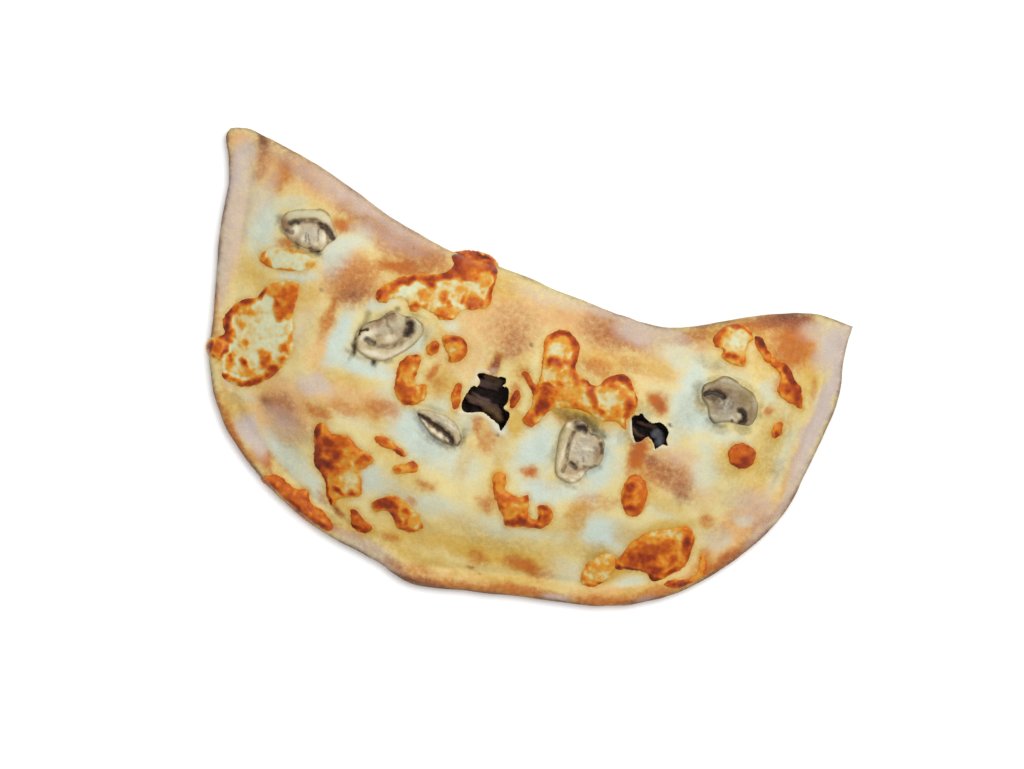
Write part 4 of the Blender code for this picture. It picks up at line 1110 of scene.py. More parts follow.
# Puddles of cheese: outline, and spots of browning as x, y, half length, half width, turn, level
CHEESE = {
    "cheese_west": (0.11, [
        (-108, 29.4), (-105.4, 27), (-104.6, 20), (-104, 13), (-101.6, 6), (-99.5, -2), (-100, -9),
        (-103.4, -16),
        (-109, -22), (-113.5, -25.6), (-121, -27.5), (-128, -25.6), (-129.4, -21.6), (-131, -18.5),
        (-136, -17.6), (-139, -14), (-139, -9.6), (-135, -7), (-133.4, -4.6), (-136.2, 1), (-135, 6.4),
        (-132, 11), (-128.5, 14.4), (-124.6, 15.4), (-122.6, 18), (-121.4, 22), (-117.4, 26)],
        [(-112, 22.5, 8.4, 4.6, 12, .58), (-107, 20, 9, 3.4, 88, .6), (-117, 21, 4, 4, 0, .42),
         (-121.4, 19, 4, 1.5, 70, .82),
         (-110.5, 14, 5, 3, -45, .6), (-110, 10.6, 3, 2, -40, .58), (-114, 17, 3, 1.4, -60, .62),
         (-134.4, 3.6, 5.6, 2.3, 94, .98), (-133, -1, 3, 2, 80, .9), (-128, 12.6, 5, 2, 25, .7),
         (-131.6, 8, 4, 2, 60, .62),
         (-131, -4, 2.6, 2.4, 0, .66), (-129.6, -8, 2.4, 1.8, 0, .5), (-135, -12.6, 4, 4.4, 0, .5),
         (-138.4, -13, 4.4, 1.2, 92, .88), (-132.4, -8, 3, 1, -10, .62), (-131, -13, 5, 1.3, 80, .68),
         (-136, -17, 3, 1, 15, .6), (-127.5, -24.6, 2.6, 1.8, 20, .8), (-121, -25.6, 6, 2, 0, .55),
         (-115, -25, 4, 1.8, 20, .66), (-111.6, -22, 3, 2.2, 30, .88), (-107, -18.5, 3.4, 2.4, 45, .74),
         (-105.5, -14, 3.6, 3, 0, .8), (-110.6, -12, 3.4, 4.6, 0, .6), (-103, -9, 3, 2.4, 0, .5),
         (-113.4, -8, 3, 2, 0, .3),
         (-119.5, -15.4, 2.8, 1.9, -45, .76), (-122.6, -6.4, 1.7, 2, 0, .5), (-127.5, -14.6, 1, 1.4, 0, .6),
         (-103, -3, 2.8, 3, 0, .64), (-105, 5, 2, 4, 0, .25), (-127.4, 2, 2, 4.4, 20, .36),
         (-126, 8.4, 5, 3, 0, .25),
         (-126.4, -18, 2.6, 4.4, 0, .44), (-117, -20, 6, 3.4, 0, .34), (-102, 2, 1.2, 5, 0, .3),
         (-129, 5, 2, 4, 0, .3), (-133, -6, 4.6, 4, 0, .66), (-123, -10, 4, 4, 0, .26)]),
    "cheese_fold": (0.16, [
        (-68.5, 36), (-63, 44), (-52, 50.5), (-41, 54.5), (-36.5, 60), (-39, 64), (-36, 66.4), (-31, 68.3),
        (-22, 69), (-16, 64.5), (-15, 54), (-15.2, 45.5), (-20, 42.6), (-26, 41), (-29, 35), (-35, 33),
        (-44, 35.5), (-49.6, 32.3), (-54, 36.6), (-60, 36), (-63, 32.6), (-67, 32.4)],
        [(-60, 43.5, 4.4, 2.2, 40, .76), (-54.5, 47, 5, 2.4, 38, .82), (-46, 50, 6, 2.8, 20, .76),
         (-44.5, 47.4, 3, 2.4, 0, .68),
         (-38.5, 54.5, 5, 2.4, 35, .74), (-35, 62, 6.4, 4.4, 70, .8), (-32, 58, 4.4, 4, 30, .72),
         (-29, 62, 5, 6, 0, .66),
         (-37, 65, 3, 2, 30, .86), (-28, 67.6, 7, 1.6, 0, .68), (-24.5, 68.8, 6, 1, -5, .95),
         (-23, 63, 5, 4, 0, .5),
         (-20, 66, 3, 3, -40, .62), (-17, 63.4, 3.4, 1.6, 110, .76), (-15.6, 54, 9, 1.3, 90, .66),
         (-26, 58, 5, 3, 0, .5),
         (-28, 56.2, 4, 1.4, 10, .6), (-25.6, 52, 5, 3.4, 0, .16), (-65, 37, 4.6, 3.6, 50, .58),
         (-67, 35, 4, 1.4, 70, .7),
         (-61.4, 40, 3, 2, 40, .6), (-36.8, 44, 3, 2.6, 60, .56), (-33.4, 41.4, 2.4, 1.4, 90, .52),
         (-35, 36.6, 4.8, 3, 0, .5), (-34, 34.4, 4, 1, 0, .62), (-48.6, 35, 3, 2.2, 30, .6),
         (-45, 36.6, 3, 1.2, 20, .42),
         (-22.6, 45.8, 4.4, 4, 0, .68), (-22.4, 45.2, 2.2, 2, 0, .52), (-18, 46.5, 2.6, 2, 0, .52),
         (-27, 46, 3.4, 1.2, 90, .66), (-55, 40.6, 3.4, 3, 0, .04), (-40, 40.4, 3, 3, 0, .22),
         (-28, 39.6, 4, 3, 0, .2),
         (-19, 56, 2.6, 5, 0, .4), (-45, 42, 6, 3.4, 20, .32), (-30, 48, 4, 4, 0, .3)]),
    "cheese_hook": (0.26, [
        (16.2, 38), (20, 44.2), (26, 45.7), (32.5, 41.5), (34.3, 35), (36, 28.5), (47, 24.5), (51, 30.5),
        (58.5, 34.2), (65, 28.5), (69, 21), (66, 13), (67, 8.5), (61, 11), (53, 9), (44, 11.5), (33, 8.5),
        (28, 5), (23, -4), (17.6, -2), (19.6, 5), (18, 12), (10.5, 19), (12.5, 21), (18.6, 16.5), (18.4, 27)],
        [(20, 42, 4.4, 2.4, 50, .62), (25.5, 44.2, 5, 1.9, 0, .78), (30.5, 41.4, 3.4, 2.2, -45, .7),
         (32.8, 36, 5, 2, 95, .66), (33.2, 31, 3, 2, -80, .66), (17.3, 36, 5, 1.3, 95, .42),
         (18.6, 27, 4, 1, 90, .46),
         (23.5, 36.5, 4, 4, 0, .16), (24.6, 30, 4.6, 2.6, 0, .64), (22, 29, 2, 2.4, 0, .72),
         (29, 31.8, 3, 1.4, 0, .5),
         (36, 25.6, 5, 2, -35, .58), (42, 24.4, 5, 1.7, -5, .62), (45.4, 20.6, 4.4, 2.4, -65, .72),
         (48.6, 16.4, 4, 1.9, -55, .68), (52.6, 13.4, 2.6, 1.6, -30, .6), (50.6, 28, 3.4, 1.6, 60, .62),
         (57.6, 32, 5.6, 2.6, 0, .86), (53.4, 30, 3.4, 2, 30, .7), (62, 29.4, 3.4, 1.7, -45, .76),
         (55, 26.6, 5, 1.6, -5, .5),
         (60.6, 24, 3, 3, 0, .42), (65.2, 20.4, 4.6, 2.8, 90, .78), (65.2, 15.6, 2.4, 1.8, 90, .68),
         (67.6, 25, 4, 0.9, 105, .7), (66, 11.4, 3, 1.4, 90, .5), (55, 21.4, 4.6, 4, 0, .14),
         (60, 15, 3, 4, 0, .4),
         (57, 12, 4, 1.4, 0, .38), (22, 23, 5, 3, 0, .14), (30, 20.4, 3, 2, 0, .34), (36, 17, 6, 5, 0, .28),
         (42, 12.6, 8, 2, 0, .42), (33, 12, 6, 3, 0, .34), (14, 18.6, 4.8, 2, -45, .6),
         (11.6, 20.4, 2, 1.4, 0, .66),
         (18, 14, 3.4, 2, -45, .68), (24, 15.4, 4.6, 3.4, 0, .68), (23.6, 18, 3, 1.2, 0, .78),
         (25, 9, 5.4, 3.6, 90, .86),
         (23.5, 4, 3, 2.4, 90, .76), (20.6, -1, 2.8, 3.4, 0, .68), (28.4, 12, 2, 4, 0, .5),
         (29.6, 20, 1.4, 1.2, 0, .5)]),
    "cheese_crescent": (0.32, [(-31.5, 25), (-27, 27.7), (-21, 26.8), (-18, 22), (-20, 16.5), (-25, 14.3),
                               (-26.5, 18), (-30, 21.5)],
                        [(-26, 25.8, 4.6, 1.8, 8, .72), (-20.6, 25.4, 3, 1.8, -30, .74),
                         (-18.6, 21.5, 3.6, 1.8, 90, .64),
                         (-21.6, 18, 3.4, 2.4, -30, .56), (-25, 15.6, 2, 1.6, 0, .5),
                         (-29.6, 24, 2, 1.8, 40, .62),
                         (-25.6, 21, 2.6, 1.6, 0, .26)]),
    "cheese_drop": (0.3, [(-47.5, 8), (-41, 13), (-38, 10.5), (-38.5, 2), (-37, -1), (-32, 0), (-31.5, -7),
                          (-38.5, -12), (-45, -8.5), (-47.7, -1)],
                    [(-45, 8, 3, 2.6, 0, .58), (-39.8, 9.6, 2.6, 1.8, 0, .48), (-41.6, 12, 1.6, 1, 0, .62),
                     (-43, 3, 4, 4, 0, .4), (-47.2, 2, 5, 1.2, 90, .52), (-40, -6, 5, 3.6, 0, .68),
                     (-38, -9.8, 4.4, 1.6, 0, .74), (-44, -4, 3, 3, 0, .58), (-33.4, -3.4, 4, 1.6, 90, .48),
                     (-39.2, 4, 3, 1.2, 90, .58), (-36, -0.6, 2, 1.6, 0, .22)]),
    "cheese_southwest": (0.3, [
        (-77.5, -36), (-75, -32.5), (-68, -36), (-61, -34.5), (-55.5, -38.5), (-48, -40.5), (-45.7, -43.5),
        (-50, -49), (-48, -55), (-47, -60.5), (-52, -63), (-57, -66), (-58, -69.3), (-61.5, -67),
        (-66, -58), (-72.5, -53), (-75.5, -44)],
        [(-68, -42, 7, 6, -45, .72), (-63, -38, 5, 3, 0, .6), (-75.4, -37.4, 4.4, 2, 95, .86),
         (-73.2, -46, 6.4, 2, 105, .8),
         (-67, -51, 7, 2.6, -10, .9), (-71, -54, 3.4, 3, -50, .82), (-64, -46, 4, 4, 0, .68),
         (-62, -53, 3, 3, 0, .52),
         (-64.6, -60, 8, 1.5, -62, .78), (-59.6, -67.6, 2.4, 1, -60, .84), (-69.6, -36.4, 3, 2, 0, .4),
         (-57, -42, 3, 4, 0, .44), (-48.8, -42.6, 2.8, 2.6, 0, .7), (-51.4, -45.4, 3, 2.2, 40, .52),
         (-54.4, -38.8, 3, 1.4, -30, .4), (-57, -48, 3, 3, 0, .4), (-53.5, -53, 4.6, 5, 0, .2),
         (-57.4, -61.8, 3.4, 1.5, -15, .76), (-51, -60.6, 3.4, 1.5, 15, .7), (-61, -58, 2, 3, -60, .36),
         (-57, -66, 2, 2, 0, .36), (-47.8, -56, 4, 1, 90, .34), (-59.4, -50, 2, 2, 0, .5)]),
    "cheese_lip_west": (0.44, [(-95, -66.3), (-87, -63.5), (-79, -67), (-72, -65.8), (-68.5, -71.5), (-61, -74),
                               (-54.5, -79.5), (-57, -81.8), (-68, -79.2), (-80, -74), (-88, -70)],
                        [(-80, -70, 7, 3, -20, .56), (-76, -74.8, 9, 1.7, -24, .76),
                         (-61, -79.8, 7, 1.8, -12, .8),
                         (-62, -76, 5, 2, -25, .52), (-72, -69, 4, 2.4, 0, .62), (-69, -74, 3, 2, 0, .6),
                         (-88, -69.4, 4, 1.2, -20, .7)]),
    "cheese_arch": (0.26, [(-40.5, -62.5), (-36, -58), (-31, -55.5), (-24, -58), (-17, -61.5), (-13.5, -66.5),
                           (-18, -70.3), (-25, -69.5), (-29, -65.5), (-33, -64), (-37.5, -66)],
                    [(-37.5, -62.4, 2.8, 2.8, 30, .62), (-34.6, -60, 4.4, 2.6, 30, .82),
                     (-31, -60.6, 4, 2.8, 0, .84),
                     (-28, -64, 3.4, 2.4, -50, .68), (-25.2, -67, 3, 2, -45, .7), (-24, -61, 3, 2, -30, .58),
                     (-20, -69.2, 5, 1.2, 0, .58), (-18, -65.4, 3, 3, 0, .28), (-14.4, -66, 2.6, 1.4, 90, .5),
                     (-31, -57, 4, 1, 10, .5), (-22, -66, 2.4, 1.4, 90, .52)]),
    "cheese_scrap": (0.5, [(-49.5, -69), (-46.5, -67.8), (-42, -71.5), (-36.5, -74), (-39, -77), (-46, -77),
                            (-47.5, -73.5)],
                     [(-47.4, -69.4, 2.4, 1.6, 0, .72), (-44, -73, 3, 1.4, -20, .56),
                      (-38.6, -74.6, 2.6, 1.4, -10, .64),
                      (-45.6, -75.8, 3, 1.3, 0, .84), (-41, -76.4, 3.4, 1, 0, .8)]),
    "cheese_bowl": (0.34, [(12, -33), (15, -29), (19, -32), (20, -37), (27, -38.5), (31.3, -35.8), (33.3, -43),
                           (36, -47), (39.5, -45.5), (37.5, -40), (41.5, -37.8), (45.7, -42), (43, -49),
                           (35, -51), (25.5, -53.8), (22.5, -49.5), (16.5, -42.5)],
                    [(14.8, -31.8, 2.8, 3, 0, .36), (14, -37, 4, 1.6, 110, .5), (20, -41, 4, 2.6, -20, .5),
                     (26, -40, 4, 2, 0, .56), (30.4, -37.6, 2.4, 1.4, 90, .62), (24, -44.6, 4, 1.8, -10, .42),
                     (20, -45.6, 3.4, 2, -45, .56), (32, -48.8, 3.6, 2.6, 0, .9),
                     (27, -51, 4.6, 1.9, 10, .78),
                     (38, -49.4, 4.4, 1.4, 8, .68), (42.6, -43.6, 4.6, 2.6, 90, .62),
                     (41, -39.6, 2.6, 1.4, 0, .78),
                     (39.2, -44, 3, 1.2, 90, .7), (30, -44, 3, 2, 0, .34), (36.6, -47, 2, 1, 0, .4)]),
    "cheese_southeast": (0.38, [
        (82, -56.5), (83.5, -49), (88, -40), (94, -34.6), (103, -30.6), (109.4, -27.6), (114.6, -32),
        (115.4, -40), (114, -46), (110.5, -50), (105.5, -55), (101, -57.5), (96.5, -55), (89, -56)],
        [(92, -38.6, 7, 3, 44, .26), (102, -32.4, 9, 3, 20, .18), (95, -41, 6, 3, 40, .4),
         (94, -48, 7, 6, 30, .78),
         (101, -53, 5, 3.4, 0, .8), (98.6, -43, 6, 4, 30, .66), (104, -39, 4, 4, 0, .56),
         (108, -45, 3, 4, 0, .54),
         (111.5, -35.4, 4.8, 2.6, 100, .78), (110, -29.6, 3, 1.6, -20, .56), (114.4, -40, 5, 1.2, 90, .6),
         (101, -56.8, 4.8, 1.3, 0, .92), (108.4, -51, 4.4, 1.4, 50, .76), (88, -51, 4, 4, 0, .64),
         (84, -52, 3, 3, 60, .4), (83.4, -56.6, 2.4, 1.2, 0, .8), (90, -55.6, 6, 1.1, 5, .82),
         (114, -46, 1, 2, 0, .3)]),
    "cheese_lip_east": (0.38, [(120, -37.4), (124.6, -42), (124.8, -48), (118.6, -54.2), (112, -58),
                               (107.5, -57.8), (110, -54.6), (117, -52), (121, -47), (120.6, -42)],
                        [(123.4, -44.4, 5, 1.6, 95, .44), (124.6, -46.6, 4, 0.9, 95, .6),
                         (118, -54.4, 3.4, 1.6, 30, .72),
                         (113.6, -56, 3.6, 1.8, 20, .78), (109.4, -56.4, 2, 1.8, 0, .58)]),
    "cheese_east": (0.24, [(94.2, 64), (97, 70), (103.5, 74.5), (110, 72.7), (112.5, 69), (111, 63), (113, 57),
                           (110, 54.5), (101, 56), (100, 60), (96, 60)],
                    [(96.6, 64, 4.6, 2, 98, .55), (97.6, 69, 3.4, 1.6, 60, .56), (103.6, 73, 5.4, 1.7, 5, .7),
                     (109.4, 72.2, 3, 1.4, -20, .6), (105, 58, 5.6, 1.8, 5, .68),
                     (111.8, 57.2, 2.4, 1.4, 90, .54),
                     (101, 59.4, 1.6, 1.4, 0, .5), (104, 65, 5, 4, 0, .08), (98.6, 72, 2.4, 1, 45, .62),
                     (95.2, 65, 4, 0.9, 98, .64)]),
    "cheese_trail": (0.4, [(113, 70), (116.5, 71.2), (121, 67), (127, 62.5), (132, 62.3), (138, 56.5),
                           (143, 53), (145.7, 44), (141, 44.5), (136, 46), (131.5, 48.5), (130.5, 56),
                           (125, 60), (119, 62.5)],
                     [(117.4, 68.4, 4.6, 2, -50, .93), (114.6, 70.4, 2, 1.2, 0, .72),
                      (120.6, 65.4, 2.6, 1.6, -45, .68),
                      (124, 62.6, 3, 1.6, -30, .3), (127.6, 61, 2.6, 1.8, 0, .6), (133, 60, 5, 2.2, -45, .88),
                      (137.4, 56, 3.6, 2.4, -60, .84), (137, 51, 4, 3, 0, .68),
                      (142, 49.6, 5.4, 2.4, 100, .82),
                      (133, 50.6, 4, 2, 90, .54), (143.8, 45.4, 1.6, 2, 0, .66), (130.6, 56, 4, 1.2, 90, .42),
                      (120, 62.8, 2.4, 1.4, 0, .3)]),
    "cheese_spot": (0.4, (-34.4, 18.5, 4.2, 2.9, 80), [(-34.4, 18.5, 3, 2, 80, .74)]),
    "cheese_strip": (0.36, [(-48, -31.2), (-45, -29.8), (-40, -30.6), (-37, -32.2), (-32.6, -34), (-31.6, -35.6),
                            (-35, -36), (-38.6, -34.6), (-44, -34.6), (-47.6, -33)],
                     [(-44, -31.6, 3.6, 1.6, -10, .62), (-35, -34.8, 3, 1.3, -20, .68),
                      (-40, -33.4, 2, 1, 0, .4)]),
    "cheese_curd": (0.34, [(-35.4, -43), (-34, -44.8), (-31, -44.4), (-27, -43), (-24.4, -41.4), (-24.2, -38.2),
                           (-27, -36.8), (-30, -38.6), (-33, -40.6)],
                    [(-26.6, -38.2, 2.4, 1.4, 0, .62), (-33, -43.4, 2, 1.4, 0, .58),
                     (-27.6, -40.8, 1.8, 1, 0, .3)]),
    "cheese_drip": (0.44, (80.4, -20.5, 10, 6.4, -78), [
        (83, -20, 4, 2.8, 90, .5), (77, -17.6, 3.4, 2.4, 60, .74), (78, -22, 2, 2, 0, .66),
        (81, -27.6, 3.6, 1.8, 10, .76),
        (79.6, -12.6, 3, 1.6, 0, .44), (84.6, -25, 3, 1.4, 90, .66), (75.8, -22, 3, 1.2, 90, .7)]),
    "cheese_curl": (0.26, (74.8, -60.5, 10.2, 6.0, 58), [
        (77.6, -66.6, 2, 1.5, 0, .62), (70, -66.4, 3, 1.3, -40, .42), (67.8, -60, 4, 1, 90, .38),
        (73, -68.8, 3, 1, 0, .4), (80.4, -54.4, 3, 1.8, 60, .4), (81, -60, 4, 1, 90, .3)]),
    "cheese_button": (0.6, (124.6, 13.3, 7.0, 6.0, 0), [(121, 15.6, 3, 2.6, 0, .58), (127, 11, 3.6, 3, 0, .88),
                                                      (124, 8, 4, 1, 0, .82),
                                                      (129.8, 15, 2.4, 1.2, 90, .72)]),
    "cheese_bead": (0.42, (137.4, 30.6, 4.6, 2.3, 82), [(137.6, 28.8, 1.6, 1.5, 0, .76), (138, 33, 1.4, 1.3, 0, .46)]),
    "cheese_tray": (0.1, (-115, 38.2, 13.8, 5.4, 10), [
        (-124.6, 33.6, 3, 2.4, 0, .42), (-122.6, 32, 4, 1.1, -10, .5), (-113, 43.2, 8, 1, 8, .24),
        (-115, 33.2, 8, 1.2, 8, .26), (-127, 37, 3, 1.2, 90, .4), (-103.6, 40, 2.4, 2, 0, .22)]),
    "cheese_flake": (0.44, (-16.4, -0.8, 7.0, 2.4, -82), [(-15.4, -3.6, 3, 1.4, -82, .66), (-17, 2.4, 3, 1.3, -82, .66)]),
    "cheese_bean": (0.64, (10.9, 6.2, 4.8, 2.1, 86), [(10.6, 7, 2, 1.2, 80, .84)]),
}


def cheese_ring(shape):
    """The edge of a puddle, from an ellipse's five numbers or from points."""
    return ellipse(*shape) if isinstance(shape, tuple) else closed_curve(shape, 6)


def cheese_puddle(name, base, shape, spots, thickness, seed):
    """A puddle of cheese that has run over the roof: rounded ragged edge, bubbles and browned spots."""
    ring = cheese_ring(shape)
    piece, plan = laid_patch("melted_" + name, ring, 0.42, 1.4)
    depth = depth_inside(ring, plan)
    depth += 0.45 * noise(plan, 3.4, seed, 2) + 0.2 * noise(plan, 1.2, seed + 1)
    full = min(1.0, 0.45 + 0.12 * depth.max())
    toast = np.full(len(plan), base)
    uneven = plan + np.column_stack([noise(plan, 3, seed + 2, 2), noise(plan, 3, seed + 3, 2)]) * 0.8
    for x, y, long, wide, turn, level in spots:
        toast += (level + 0.03 - toast) * spot(uneven, x, y, long, wide, turn, 0.85)
    toast += 0.09 * noise(plan, 4, seed + 4, 2) + 0.06 * noise(plan, 1.6, seed + 5)
    toast += 0.06 * np.exp(-((depth - 0.3) / 0.9) ** 2)
    body = quarter_round(depth, 2.8) * (0.75 + 0.25 * smoothstep(depth, 1, 6))
    body *= 0.6 + 0.4 * smoothstep(toast, 0.1, 0.5)
    swell = np.where(depth > 0, thickness * full * body, 1.4 * depth)
    inner = smoothstep(depth, 0.3, 2)
    bubbles = 0.28 * noise(plan, 3.2, seed + 6, 2) + 0.22 * smoothstep(toast, 0.5, 0.9) * noise(plan, 1.5, seed + 7)
    swell += inner * bubbles * (0.5 + 0.8 * np.clip(toast, 0, 1))
    write_places(piece, np.column_stack([plan, roof_height(plan) + swell]))
    store(piece, "toast", np.clip(toast, 0, 1))
    close_underneath(piece, 1.6)
    return piece


class CALZONE_OT_cheese(bpy.types.Operator):
    """Model the puddles of browned cheese"""
    bl_idname = "calzone.make_cheese"
    bl_label = "Cheese"

    def execute(self, context):
        settings = context.scene.calzone_cheese
        material = shared_material("cheese_surface", cheese_material, settings)
        for index, (name, (base, shape, spots)) in enumerate(CHEESE.items()):
            piece = cheese_puddle(name, base, shape, spots, millimetres(settings, "thickness"), 300 + 20 * index)
            finish_piece(piece, material, [name])
        return {"FINISHED"}
